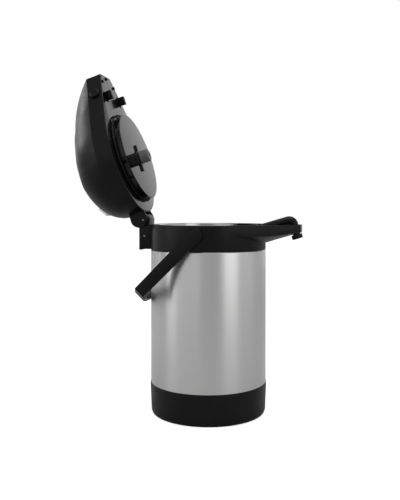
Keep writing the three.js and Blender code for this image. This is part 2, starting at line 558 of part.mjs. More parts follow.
function buildPump(lid) {
  const at = { z: BUTTON_Z, segments: 28 };
  add(lid, 'pump_button', turned([
    [0, 0], [14, -0.6], [24, -1.9], [29.6, -3.8], [BUTTON_R, -5.2], [BUTTON_R, -19.8], [28.4, -19.8],
    [28.4, -7.2], [22, -5.2], [0, -3.4],
  ], { ...at, closed: false }), BLACK);
  add(lid, 'button_guide', turned([[31.1, -39.8], [33.2, -39.8], [33.2, -10.4], [31.1, -10.4]], at), BLACK);
  const folds = 5;
  const foldR = [19, 26];
  const skin = 1.8;
  const low = RIM + DISC_LOW + 3.4;
  const high = BUTTON_Z - 5.8;
  const pitch = (high - low) / folds;
  const outside = [[foldR[0], low]];
  for (let i = 0; i < folds; i += 1) {
    outside.push([foldR[1], low + (i + 0.5) * pitch], [foldR[0], low + (i + 1) * pitch]);
  }
  const inside = outside.map(([r, z]) => [r - skin, z]).reverse();
  add(lid, 'bellows', turned([...outside, ...inside], { segments: 16 }), RUBBER);
  const spring = coil(13.5, 1, high - low - 0.6, 5).rotateY(-Math.PI / 2).translate(0, 0, low + 0.2);
  add(lid, 'bellows_spring', solid(spring), BRIGHT);

  let slider = block(-LOCK_HALF.x, LOCK_HALF.x, -LOCK_HALF.y, LOCK_HALF.y, -8, LOCK_RISE);
  const groove = block(-1.2, 1.2, -LOCK_HALF.y - 1, LOCK_HALF.y + 1, LOCK_RISE - 1.4, LOCK_RISE + 1);
  slider = slider.subtract(groove);
  const geometry = geometryOf(slider).rotateY(-LOCK_SLOPE);
  const surface = DOME_HEIGHT * (1 - (LOCK_R / BODY_R) ** DOME_POWER) ** (1 / DOME_POWER);
  geometry.translate(-LOCK_R, 0, LID_BOTTOM + BAND_HEIGHT + surface);
  add(lid, 'lock_slider', solid(geometry).subtract(lidBody(-0.5, LID_BOTTOM, 7)), BRIGHT);
}

function buildLatches(lid) {
  const [x0, x1] = HOOK_X;
  const low = RIM - 9.6;
  for (const [side, label] of SIDES) {
    const button = latchBore(side, 7.5, -5.6, 3.2).add(latchBore(side, 8.6, -5.6, -3.6));
    add(lid, `latch_button_${label}`, button, BLACK);
    const stem = block(x0, x1, ...sideSpan(side, 24, 27.6), low, RIM + 16.5);
    const barb = block(x0, x1, ...sideSpan(side, 24, 31.4), low, low + 1.5);
    const foot = block(87, 93.5, ...sideSpan(side, 24, 31.6), RIM + 8, RIM + 15);
    add(lid, `latch_hook_${label}`, stem.add(barb).add(foot), BLACK);
    const spring = coil(2.4, 0.4, 8.6, 3).rotateZ((side * Math.PI) / 2);
    add(lid, `latch_spring_${label}`, solid(spring.translate(90, side * 15, RIM + 10.5)), BRIGHT);
  }
}

function buildLid() {
  const swung = new THREE.Group();
  swung.position.copy(HINGE);
  swung.rotation.y = -LID_OPEN;
  const lid = new THREE.Group();
  lid.position.copy(HINGE).negate();
  swung.add(lid);
  pot.add(swung);
  buildLidShell(lid);
  buildLidUnderside(lid);
  buildPump(lid);
  buildLatches(lid);
}

buildBase();
buildFlask();
buildCollar();
buildHinge();
buildHandle();
buildSpout();
buildLid();

const airpot = new THREE.Group();
airpot.add(pot);

export default airpot;
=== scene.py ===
"""Looks of the thermal coffee airpot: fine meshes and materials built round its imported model.

Lengths are in millimetres. Heights are measured from FOOT above the underside, as in the part's drawing,
until show() lifts a piece and turns it into metres.
Lid pieces are drawn with the lid shut and then carried to the open pose by OPENED.
"""
import json
import math

import bmesh
import bpy
from mathutils import Matrix, Vector


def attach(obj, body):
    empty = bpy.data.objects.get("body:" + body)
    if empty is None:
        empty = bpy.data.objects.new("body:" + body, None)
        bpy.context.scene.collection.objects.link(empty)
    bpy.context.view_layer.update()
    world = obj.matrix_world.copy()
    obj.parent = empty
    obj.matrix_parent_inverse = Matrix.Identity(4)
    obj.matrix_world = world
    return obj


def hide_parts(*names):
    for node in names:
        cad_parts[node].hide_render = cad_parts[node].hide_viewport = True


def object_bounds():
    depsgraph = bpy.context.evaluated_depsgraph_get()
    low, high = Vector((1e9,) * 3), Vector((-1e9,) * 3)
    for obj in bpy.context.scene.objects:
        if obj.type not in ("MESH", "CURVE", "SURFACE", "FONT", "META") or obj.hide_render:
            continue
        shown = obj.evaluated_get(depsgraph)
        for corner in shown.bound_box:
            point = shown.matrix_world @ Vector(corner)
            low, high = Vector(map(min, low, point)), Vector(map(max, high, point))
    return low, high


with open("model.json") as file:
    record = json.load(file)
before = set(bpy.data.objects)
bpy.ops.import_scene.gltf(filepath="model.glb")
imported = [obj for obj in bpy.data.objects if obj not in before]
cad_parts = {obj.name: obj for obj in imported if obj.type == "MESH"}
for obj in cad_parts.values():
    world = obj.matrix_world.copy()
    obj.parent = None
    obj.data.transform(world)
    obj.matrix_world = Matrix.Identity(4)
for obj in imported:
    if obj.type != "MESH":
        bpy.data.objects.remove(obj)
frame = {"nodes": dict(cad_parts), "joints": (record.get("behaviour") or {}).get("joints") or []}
cad_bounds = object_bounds()

# ---------------------------------------------------------------- places, taken from the frame
MM = 0.001
FOOT = -2.6  # underside of the foot pad, in the drawing's heights
STILL = Matrix.Identity(4)
TO_FRAME = Matrix.Scale(MM, 4) @ Matrix.Translation((0, 0, -FOOT))
TO_DRAWING = TO_FRAME.inverted()
joints = {joint["name"]: joint for joint in frame["joints"]}


def turned_about(point, degrees, axis="Y"):
    """Rotation about an axis through a point."""
    turn = Matrix.Rotation(math.radians(degrees), 4, axis)
    return Matrix.Translation(point) @ turn @ Matrix.Translation(-Vector(point))


def corners(node, undo=STILL):
    """Lowest and highest corner of a CAD node, after a matrix undoes its pose."""
    points = [undo @ TO_DRAWING @ vertex.co for vertex in frame["nodes"][node].data.vertices]
    low = Vector([min(point[i] for point in points) for i in range(3)])
    high = Vector([max(point[i] for point in points) for i in range(3)])
    return low, high


HINGE, SPOUT, RELEASE, HANDLE = (
    TO_DRAWING @ Vector(joints[name]["pos_m"])
    for name in ("lid_hinge", "spout_tilt", "release_press", "handle_swing")
)
LID_ANGLE = joints["lid_hinge"]["range_deg"][0]
OPENED = turned_about(HINGE, LID_ANGLE)
SHUT = OPENED.inverted()
HANDLE_HANGS = math.radians(135)  # from the nose's direction down to the hanging handle
SPOUT_RAISE = math.radians(16.5)
HANGING = Matrix.Translation(HANDLE) @ Matrix.Rotation(HANDLE_HANGS, 4, "Y")
RAISED = Matrix.Translation(SPOUT) @ Matrix.Rotation(-SPOUT_RAISE, 4, "Y")
AT_RELEASE = Matrix.Translation(RELEASE)

shell_low, shell_high = corners("outer_shell")
collar_low, collar_high = corners("collar")

BODY_R = shell_high.x
RIM = collar_high.z
COLLAR_LOW = collar_low.z
SEAM = COLLAR_LOW - 0.3  # top of the steel's visible wall
NOSE_TIP = collar_high.x
LID_BOTTOM = corners("lid_plate", SHUT)[0].z
LID_TIP = corners("lid_shell", SHUT)[1].x
BAND_HEIGHT = 22.2  # upright band round the lid
DOME_HEIGHT = 52.6
DOME_POWER = 2.2  # fullness of the dome, where 2 is an ellipse
CREASE = 20  # degrees the dome leans in where it meets the band, along the nose and sides
TIP_CREASE = 62  # and at the nose's tip
TIP_SPREAD = 30  # degrees off the nose over which the tip's extra lean dies away
CREASE_END = (90, 120)  # degrees off the nose between which the crease fades out
WALL = 2.4  # thickness of the collar's and the lid's walls
FLARE = math.radians(60.2)  # where the nose's sides leave the round body
HULL_R = 110  # radius of the nose's rounded underside
HULL_TILT = math.radians(16.4)
KEEL = (80, 232.2)  # where the keel leaves the round body
BAND_START = (20, 244.9)  # lower edge of the band that runs along the nose
BAND_SLOPE = 3.3 / 111.5
TROUGH_LOW = 234.6  # lowest floor of the trough in the nose
TUBE_X = 50  # dip tube's place along the nose's direction
PIPE_REACH = 45.5  # spout pivot to elbow
PIPE_DROP = 23  # elbow to the pipe's open end
VALVE = (-12, -51)  # air valve's place in the lid's plan
LATCH = (97, 36.6, RIM + 11.5)  # centre of the left latch button, on the nose's side wall
HOOK_X = (84.5, 96.5)  # latch hooks' extent along the nose
SCREWS = [(121.7, 0), (111.6, 22.7), (114.4, -21)]  # places of the plate's screws
DISC_LOW = -12  # underside of the lid's disc, from the rim
BUTTON_R = 30.6  # pump button
BUTTON_Z = LID_BOTTOM + BAND_HEIGHT + DOME_HEIGHT - 0.4
LOCK_R = 60  # distance of the pump lock from the lid's centre
LOCK_SLOPE = math.radians(35)
LOCK_HALF = (8, 11)  # half its length and width
LOCK_RISE = 2.6  # how far it stands off the dome
EAR_OFFSET = (3.2, 5.5)  # centre of the lid's hinge ears from the hinge, lid shut
EAR = (HINGE.x + EAR_OFFSET[0], HINGE.z + EAR_OFFSET[1])
EAR_R = 12.4
EAR_Y = (13.3, 17)
HINGE_PIN_R = 1.6
RELEASE_PIN_R = 1.4
PIN_BORE_ROOM = 0.3
SIDES = ((1, "left"), (-1, "right"))


# ---------------------------------------------------------------- outlines
def rounded(points, radius=0.5, steps=4, closed=True):
    """Outline with its corners rounded. A point may carry its own radius as a third value."""
    result = []
    count = len(points)
    for i, point in enumerate(points):
        here = Vector(point[:2])
        if not closed and i in (0, count - 1):
            result.append(tuple(here))
            continue
        wanted = point[2] if len(point) > 2 else radius
        back = Vector(points[i - 1][:2]) - here
        ahead = Vector(points[(i + 1) % count][:2]) - here
        if wanted <= 0 or back.length < 1e-6 or ahead.length < 1e-6:
            result.extend([tuple(here)] * (steps + 1))
            continue
        opening = back.angle(ahead)
        reach = wanted / math.tan(opening / 2)
        reach = min(reach, 0.49 * back.length, 0.49 * ahead.length)
        start = here + back.normalized() * reach
        end = here + ahead.normalized() * reach
        for k in range(steps + 1):
            t = k / steps
            weight = (math.pi - opening) / 2
            if weight < 1e-4:
                result.append(tuple(start.lerp(end, t)))
                continue
            a = math.sin((1 - 2 * t) * weight) / math.sin(weight)
            middle = (start + end) / 2
            bulge = (math.cos((1 - 2 * t) * weight) - math.cos(weight)) / (1 - math.cos(weight))
            top = middle.lerp(here, arc_depth(opening))
            result.append(tuple(middle + (start - middle) * a + (top - middle) * bulge))
    return result


def arc_depth(opening):
    """How far towards the corner the middle of its rounding arc lies, from the chord."""
    half = opening / 2
    return (1 - math.sin(half)) / math.cos(half) ** 2 * math.sin(half)


def spaced(start, end, steps):
    """Evenly spaced values from start to end, both included."""
    return [start + (end - start) * i / steps for i in range(steps + 1)]


def arc(radius, start, end, steps, centre=(0, 0)):
    """Points round a centre, from one angle to another."""
    turns = spaced(start, end, steps)
    return [(centre[0] + radius * math.cos(t), centre[1] + radius * math.sin(t)) for t in turns]


def box_outline(low, high, radius=1.0):
    """Rectangular outline with round corners."""
    (x0, y0), (x1, y1) = low, high
    return rounded([(x0, y0), (x1, y0), (x1, y1), (x0, y1)], radius)


def inset(outline, distance):
    """Outline moved inwards by a distance, each point along its mitre."""
    area = sum(a[0] * b[1] - b[0] * a[1] for a, b in zip(outline, outline[1:] + outline[:1]))
    sign = 1 if area > 0 else -1
    result = []
    for i, point in enumerate(outline):
        back = Vector(point) - Vector(outline[i - 1])
        ahead = Vector(outline[(i + 1) % len(outline)]) - Vector(point)
        if back.length < 1e-7:
            back = ahead
        if ahead.length < 1e-7:
            ahead = back
        back.normalize()
        ahead.normalize()
        normal = Vector((-(back.y + ahead.y), back.x + ahead.x)) * sign
        normal.normalize()
        stretch = max(normal.dot(Vector((-back.y, back.x)) * sign), 0.35)
        result.append(tuple(Vector(point) + normal * distance / stretch))
    return result


def side_at(x, inward=0.0):
    """Half width of the teardrop's straight side at x."""
    return (BODY_R - inward - x * math.cos(FLARE)) / math.sin(FLARE)


def teardrop(tip, inward=0.0):
    """Plan outline: round body with straight sides running out to a blunt nose."""
    radius = BODY_R - inward
    tip_x = tip - inward
    along = radius * math.cos(FLARE)
    upper = [(along, radius * math.sin(FLARE)), (tip_x, side_at(tip_x, inward)), (tip_x, 0)]
    nose = rounded(upper, 3, 6, closed=False)
    side = [Vector(nose[0]).lerp(Vector(nose[1]), t) for t in spaced(0, 1, 26)]
    face = [Vector(nose[-2]).lerp(Vector(nose[-1]), t) for t in spaced(0, 1, 8)]
    half = [tuple(p) for p in side] + nose[2:-2] + [tuple(p) for p in face]
    half.reverse()
    lower = [(x, -y) for x, y in reversed(half[1:])]
    return half + arc(radius, FLARE, 2 * math.pi - FLARE, 100)[1:-1] + lower


# ---------------------------------------------------------------- meshes
def grid(name, rows, ring=False, loop=False, ends=False):
    """Surface through rows of points. loop closes each row, ring joins the last row to the first,
    and ends caps the first and the last row."""
    width = len(rows[0])
    points = [tuple(point) for row in rows for point in row]
    faces = []
    for i in range(len(rows) if ring else len(rows) - 1):
        below = i * width
        above = ((i + 1) % len(rows)) * width
        for k in range(width if loop else width - 1):
            after = (k + 1) % width
            faces.append((below + k, below + after, above + after, above + k))
    if ends:
        faces.append(tuple(range(width)))
        faces.append(tuple(range(len(points) - width, len(points))))
    mesh = bpy.data.meshes.new(name)
    mesh.from_pydata(points, [], faces)
    body = bpy.data.objects.new(name, mesh)
    bpy.context.scene.collection.objects.link(body)
    mend(body)
    return body


def mend(body, distance=1e-4):
    """Merges points that coincide and turns every face outwards."""
    work = bmesh.new()
    work.from_mesh(body.data)
    bmesh.ops.remove_doubles(work, verts=work.verts, dist=distance)
    bmesh.ops.dissolve_degenerate(work, dist=distance / 2, edges=work.edges)
    bmesh.ops.recalc_face_normals(work, faces=work.faces)
    work.to_mesh(body.data)
    work.free()


def lathe(name, profile, centre=(0, 0), segments=160, closed=True):
    """Turned body. The profile is (radius, height) and closes on itself, or starts and ends on the axis."""
    rows = []
    for t in spaced(0, 2 * math.pi, segments)[:-1]:
        c, s = math.cos(t), math.sin(t)
        rows.append([(centre[0] + r * c, centre[1] + r * s, z) for r, z in profile])
    return grid(name, rows, ring=True, loop=closed)


def prism(name, outline, low, high, edge=0.4, axis="Z", steps=3):
    """Outline carried along an axis from low to high, with its two end edges rounded."""
    levels = []
    if edge > 0:
        bends = spaced(0, math.pi / 2, steps)
        levels += [(low + edge * (1 - math.sin(t)), edge * (1 - math.cos(t))) for t in reversed(bends)]
        levels += [(high - edge * (1 - math.sin(t)), edge * (1 - math.cos(t))) for t in bends]
    else:
        levels += [(low, 0), (high, 0)]
    rows = []
    for height, inward in levels:
        ring = inset(outline, inward) if inward > 1e-6 else outline
        at = "XYZ".index(axis)
        rows.append([(*point[:at], height, *point[at:]) for point in ring])
    return grid(name, rows, loop=True, ends=True)


def rod(name, radius, low, high, centre=(0, 0), axis="Z", edge=0.3, segments=48):
    """Round bar along an axis. centre is its place in the other two coordinates."""
    return prism(name, arc(radius, 0, 2 * math.pi, segments, centre)[:-1], low, high, edge, axis)


def brick(name, low, high, edge=0.4, axis="Z", radius=0.6):
    """Block between two corners with soft edges."""
    u, v, w = {"Z": (0, 1, 2), "Y": (0, 2, 1), "X": (1, 2, 0)}[axis]
    outline = box_outline((low[u], low[v]), (high[u], high[v]), radius)
    return prism(name, outline, low[w], high[w], edge, axis)


def sweep(name, path, radius, sides=24):
    """Round bar along a path of points. radius is one number, or one for each point."""
    path = [Vector(point) for point in path]
    up = None
    rows = []
    for i, point in enumerate(path):
        ahead = path[min(i + 1, len(path) - 1)] - path[max(i - 1, 0)]
        ahead.normalize()
        if up is None:
            up = ahead.orthogonal().normalized()
        up = (up - ahead * up.dot(ahead)).normalized()
        across = ahead.cross(up)
        size = radius[i] if hasattr(radius, "__len__") else radius
        turns = [2 * math.pi * k / sides for k in range(sides)]
        rows.append([point + (up * math.cos(t) + across * math.sin(t)) * size for t in turns])
    return grid(name, rows, loop=True, ends=True)


def coil(radius, low, high, turns, wire, sides=12, steps=28):
    """Coil spring about the Z axis."""
    path = []
    for part in spaced(0, 1, turns * steps):
        t = 2 * math.pi * turns * part
        path.append((radius * math.cos(t), radius * math.sin(t), low + (high - low) * part))
    return sweep("spring", path, wire, sides)


def place(body, matrix):
    """Moves a body's points by a matrix."""
    body.data.transform(matrix)
    if matrix.determinant() < 0:
        body.data.flip_normals()
    return body


def bake_modifiers(body):
    """Applies a body's modifiers to its mesh."""
    bpy.context.view_layer.update()
    graph = bpy.context.evaluated_depsgraph_get()
    mesh = bpy.data.meshes.new_from_object(body.evaluated_get(graph))
    body.modifiers.clear()
    body.data = mesh
    return body


def combine(body, others, operation):
    """Joins other bodies into a body by a boolean operation, and uses them up."""
    for other in others:
        modifier = body.modifiers.new("join", "BOOLEAN")
        modifier.operation = operation
        modifier.solver = "MANIFOLD"
        modifier.object = other
        bake_modifiers(body)
        bpy.data.objects.remove(other)
    return body


def cut(body, *others):
    """Takes the other bodies away from a body."""
    return combine(body, others, "DIFFERENCE")


def join(body, *others):
    """Adds the other bodies to a body."""
    return combine(body, others, "UNION")


def common(body, *others):
    """Keeps what a body shares with the others."""
    return combine(body, others, "INTERSECT")


def soften(body, width, segments=2, angle=35):
    """Rounds a body's sharp edges."""
    mend(body, 2e-3)
    modifier = body.modifiers.new("soften", "BEVEL")
    modifier.limit_method = "ANGLE"
    modifier.angle_limit = math.radians(angle)
    modifier.width = width
    modifier.segments = segments
    return bake_modifiers(body)


def show(body, node, slot, rides, matrix=STILL, finish=None, crease=32):
    """Finishes a piece: into metres, smooth shaded, riding on its body in place of its CAD node."""
    place(body, TO_FRAME @ matrix)
    body.name = node + "_fine"
    body.data.name = body.name
    body.data.materials.clear()
    body.data.materials.append(finishes[finish or slot])
    for face in body.data.polygons:
        face.use_smooth = True
    body.data.set_sharp_from_angle(angle=math.radians(crease))
    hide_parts(node)
    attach(body, rides)
    return body


# ---------------------------------------------------------------- materials
def add_node(tree, kind, settings=None, **inputs):
    """New shader node. settings are its own properties, and inputs its socket values or links."""
    made = tree.nodes.new(kind)
    for key, value in (settings or {}).items():
        setattr(made, key, value)
    for key, value in inputs.items():
        socket = made.inputs[int(key[1:])] if key[0] == "_" else made.inputs[key.replace("__", " ")]
        if isinstance(value, bpy.types.NodeSocket):
            tree.links.new(value, socket)
        else:
            socket.default_value = value
    return made


def worked(tree, operation, first, second):
    """Result of a sum on two values."""
    return add_node(tree, "ShaderNodeMath", {"operation": operation}, _0=first, _1=second).outputs[0]


def remap(tree, value, low, high, start=0.3, end=0.7):
    """Value from start to end turned into one from low to high."""
    made = add_node(tree, "ShaderNodeMapRange", _0=value, _1=start, _2=end, _3=low, _4=high)
    return made.outputs[0]


def mixed(tree, amount, first, second):
    """Colour between two colours."""
    made = add_node(tree, "ShaderNodeMix", {"data_type": "RGBA"}, _0=amount, _6=first, _7=second)
    return made.outputs[2]


def grey(value, warmth=0.0):
    """Opaque near-grey colour."""
    return (value * (1 + warmth), value, value * (1 - warmth), 1)


def new_finish(name, **sockets):
    """Material with one shader, its tree and its object coordinates."""
    made = bpy.data.materials.new(name)
    made.use_nodes = True
    tree = made.node_tree
    shader = tree.nodes["Principled BSDF"]
    for key, value in sockets.items():
        shader.inputs[key.replace("__", " ")].default_value = value
    where = add_node(tree, "ShaderNodeTexCoord").outputs["Object"]
    return made, tree, shader, where


def noise(tree, where, scale, detail=3.0, roughness=0.55):
    """Noise value over a vector."""
    made = add_node(tree, "ShaderNodeTexNoise", Vector=where, Scale=scale, Detail=detail, Roughness=roughness)
    return made.outputs["Fac"]


def bumped(tree, shader, height, strength, depth):
    """Gives a shader relief, with its depth in metres."""
    made = add_node(tree, "ShaderNodeBump", Strength=strength, Distance=depth, Height=height)
    tree.links.new(made.outputs["Normal"], shader.inputs["Normal"])


def moulded(name, dark, light, rough, spread, grain=1900, relief=0.25, specular=0.2):
    """Moulded plastic or rubber: a fine spark-eroded grain with slow changes of tone and gloss."""
    made, tree, shader, where = new_finish(name, Specular__IOR__Level=specular)
    cloud = noise(tree, where, 22)
    smudge = noise(tree, where, 75, 4)
    fine = noise(tree, where, grain, 2)
    tone = mixed(tree, remap(tree, cloud, 0, 1), grey(dark), grey(light))
    tree.links.new(tone, shader.inputs["Base Color"])
    tree.links.new(remap(tree, smudge, rough - spread, rough + spread), shader.inputs["Roughness"])
    bumped(tree, shader, fine, relief, 0.00003)
    return made


def cylinder_coordinates(tree, where):
    """Vector of (angle about Z, height, 0)."""
    x, y, z = add_node(tree, "ShaderNodeSeparateXYZ", Vector=where).outputs
    angle = worked(tree, "ARCTAN2", y, x)
    return add_node(tree, "ShaderNodeCombineXYZ", X=angle, Y=z).outputs[0]


def brushed(name, tone, rough):
    """Steel brushed round the pot's axis, with long fine streaks."""
    made, tree, shader, where = new_finish(name, Metallic=1.0, Anisotropic=0.8, Anisotropic__Rotation=0.25)
    rolled = cylinder_coordinates(tree, where)
    wide = add_node(tree, "ShaderNodeMapping", Vector=rolled, Scale=(2.2, 900, 1)).outputs[0]
    thin = add_node(tree, "ShaderNodeMapping", Vector=rolled, Scale=(5, 4200, 1)).outputs[0]
    broad = noise(tree, wide, 1.0, 4, 0.6)
    hair = noise(tree, thin, 1.0, 3, 0.6)
    both = worked(tree, "ADD", broad, hair)
    shade = remap(tree, both, 0, 1, 0.7, 1.3)
    colour = mixed(tree, shade, grey(tone * 0.96, 0.004), grey(tone * 1.03, 0.004))
    tree.links.new(colour, shader.inputs["Base Color"])
    tree.links.new(remap(tree, both, rough * 0.85, rough * 1.15, 0.7, 1.3), shader.inputs["Roughness"])
    tangent = add_node(tree, "ShaderNodeTangent", {"direction_type": "RADIAL", "axis": "Z"})
    tree.links.new(tangent.outputs[0], shader.inputs["Tangent"])
    bumped(tree, shader, both, 0.06, 0.00002)
    return made


def polished(name, tone, rough):
    """Bright steel with faint wipe marks."""
    made, tree, shader, where = new_finish(name, Metallic=1.0)
    smear = noise(tree, where, 130, 4)
    hair = noise(tree, where, 900, 2)
    colour = mixed(tree, remap(tree, smear, 0, 1), grey(tone * 0.95), grey(tone))
    tree.links.new(colour, shader.inputs["Base Color"])
    tree.links.new(remap(tree, smear, rough * 0.7, rough * 1.4), shader.inputs["Roughness"])
    bumped(tree, shader, hair, 0.05, 0.00002)
    return made


FINISHES = {
    "black_plastic": (moulded, dict(dark=0.0028, light=0.0045, rough=0.36, spread=0.05, specular=0.16)),
    "gloss_black": (moulded, dict(
        dark=0.0035, light=0.0050, rough=0.16, spread=0.04, relief=0.04, specular=0.26)),
    "brushed_steel": (brushed, dict(tone=0.60, rough=0.34)),
    "polished_steel": (polished, dict(tone=0.74, rough=0.22)),
    # Darker copy of polished steel for the mouth ring alone: painted shade, standing in for the dimmer
    # reflections the ring shows down in the collar's mouth.
    "shaded_ring_steel": (polished, dict(tone=0.42, rough=0.20)),
    "pin_steel": (polished, dict(tone=0.26, rough=0.45)),
    "black_rubber": (moulded, dict(
        dark=0.005, light=0.009, rough=0.66, spread=0.06, grain=1200, relief=0.4, specular=0.16)),
    "grey_rubber": (moulded, dict(
        dark=0.055, light=0.080, rough=0.45, spread=0.06, grain=1500, relief=0.3, specular=0.4)),
    "clear_silicone": (moulded, dict(
        dark=0.58, light=0.68, rough=0.36, spread=0.05, grain=900, relief=0.1, specular=0.5)),
}
finishes = {name: make(name, **look) for name, (make, look) in FINISHES.items()}


# ---------------------------------------------------------------- base
BASE_TOP = 40
PAD_THICK = 2.5
GROOVES = range(14, 60, 6)  # inner radii of the round grooves under the foot pad
GROOVE_WIDTH = 2
GROOVE_DEPTH = 0.8


def build_base():
    """Foot pad, base cup and the screw that clamps it."""
    pad_r = corners("foot_pad")[1].x
    ribs = []
    for r in GROOVES:
        end = r + GROOVE_WIDTH
        ribs += [(r, 0), (r, GROOVE_DEPTH), (end, GROOVE_DEPTH), (end, 0)]
    rim = [(pad_r, 0, 1), (pad_r, PAD_THICK), (0, PAD_THICK)]
    pad = rounded([(0, 0)] + ribs + rim, 0.25, 2, closed=False)
    show(lathe("pad", pad, closed=False), "foot_pad", "black_rubber", "pot", Matrix.Translation((0, 0, FOOT)))

    outside = corners("base_cup")[1].x
    cup = rounded([
        (5.3, FOOT + 2.8), (pad_r + 0.3, FOOT + 2.8), (pad_r + 0.3, FOOT + 1), (77.6, FOOT + 1, 1.6),
        (79.2, FOOT + 4.5, 6), (outside, 36, 30), (outside, BASE_TOP, 0.7), (78.9, BASE_TOP, 0.2),
        (78.9, 46.5), (76.5, 46.5), (76.5, FOOT + 8, 2), (73.5, FOOT + 5, 2), (12, FOOT + 5, 1),
        (12, 11.5), (2.4, 11.5, 0),
        (2.4, FOOT + 6.3, 0), (5.3, FOOT + 6.3, 0),
    ], 0.4)
    show(lathe("cup", cup, segments=224), "base_cup", "black_plastic", "pot")
    show(cross_screw(5, 2, FOOT + 3, FOOT + 6, 26), "base_screw", "polished_steel", "pot")


def cross_screw(head_r, shank_r, face, under, tip):
    """Screw along Z. Its head runs from face to under, and its shank on to tip."""
    way = 1 if tip > face else -1
    profile = [
        (0, face), (head_r, face, 0.35 * abs(under - face)), (head_r, under), (shank_r, under),
        (shank_r, tip - way * shank_r * 0.6), (0, tip),
    ]
    screw = lathe("screw", rounded(profile, 0.15, 3, closed=False), segments=48, closed=False)
    depth = face + way * 0.55 * abs(under - face)
    span = sorted((face - way, depth))
    arm, slim = head_r * 0.62, head_r * 0.15
    for along, aside in ((arm, slim), (slim, arm)):
        cut(screw, brick("recess", (-along, -aside, span[0]), (along, aside, span[1]), 0, radius=0.05))
    return screw


# ---------------------------------------------------------------- vacuum flask
def build_flask():
    """Outer wall, its bottom, the inner wall and the neck's gasket."""
    low = shell_low.z
    shell = rounded([
        (BODY_R, low, 0.3), (BODY_R, SEAM - 0.3, 1.0), (76.9, SEAM + 0.1, 0.3), (76.9, SEAM + 1.6),
        (68, 227.4), (64.9, 228.2), (64.9, 231), (64.1, 231), (64.1, 227.5), (67.6, 226.6),
        (76.1, SEAM + 0.9), (76.1, SEAM - 1, 0.2), (79.2, SEAM - 1.6), (79.2, low, 0.2),
    ], 0.25)
    show(lathe("shell", shell, segments=256), "outer_shell", "brushed_steel", "pot")
    bottom = rounded([
        (2.3, 13), (8, 13), (8, 47, 1), (78.9, 47, 1), (78.9, 51.5), (78.1, 51.5), (78.1, 48), (2.3, 48),
    ], 0.3)
    show(lathe("bottom", bottom), "shell_bottom", "brushed_steel", "pot")
    liner = rounded([
        (0, 52), (64, 52, 12), (72.8, 60, 8), (72.8, 209, 6), (63.8, 221, 3), (63.8, 231.3), (65, 231.3),
        (65, 232), (63, 232), (63, 220.8, 3), (72, 208.8, 6), (72, 60.4, 8), (63.8, 52.8, 12), (0, 52.8),
    ], 0.2, 6, closed=False)
    show(lathe("liner", liner, segments=192, closed=False), "inner_liner", "brushed_steel", "pot")
    gasket = rounded([(63.7, 232.4), (66.9, 232.4), (66.9, 235), (63.7, 235)], 0.5)
    show(lathe("gasket", gasket), "neck_gasket", "clear_silicone", "pot")


# ---------------------------------------------------------------- collar
def underside(x, y):
    """Height of the nose's underside: a rounded hull running up into the flat under its band."""
    bow = HULL_R - math.sqrt(max(HULL_R ** 2 - y ** 2, 0))
    hull = KEEL[1] + (x - KEEL[0]) * math.tan(HULL_TILT) + bow / math.cos(HULL_TILT)
    band = BAND_START[1] + (x - BAND_START[0]) * BAND_SLOPE
    blend = 0.9
    h = max(blend - abs(hull - band), 0) / blend
    return min(hull, band) - h * h * blend / 4


def collar_row(x, y):
    """Section of the filled collar in one direction."""
    reach = math.hypot(x, y)
    c, s = x / reach, y / reach
    edge = min(0.7, max(reach - BODY_R, 0) * 0.4)
    under = [(r, underside(r * c, r * s)) for r in spaced(BODY_R, reach, 14)]
    under = [(r, z, 0) for r, z in under[1:-1]]
    lower = (BODY_R, underside(BODY_R * c, BODY_R * s), edge)
    outer = (reach, underside(x, y), edge)
    profile = [(0, COLLAR_LOW), (BODY_R, COLLAR_LOW, 0.6), lower] + under
    profile += [outer, (reach, RIM, 0.7), (0, RIM)]
    return [(r * c, r * s, z) for r, z in rounded(profile, 0.5, 3, closed=False)]


def trough_row(x, y):
    """Section of the trough in the nose, in one direction, open at the top."""
    reach = math.hypot(x, y)
    c, s = x / reach, y / reach
    inner = 70
    floor = [(r, max(underside(r * c, r * s) + 2.2, TROUGH_LOW)) for r in spaced(inner, reach, 12)]
    profile = [(r, z, 0) for r, z in floor[:-1]]
    chamfer = 0.6
    lip = reach + chamfer
    over = RIM + 2
    profile += [(*floor[-1], 1.2), (reach, RIM - chamfer, 0.5), (lip, RIM, 0.5), (lip, over, 0)]
    profile += [(inner, over, 0)]
    return [(r * c, r * s, z) for r, z in rounded(profile, 0, 3)]


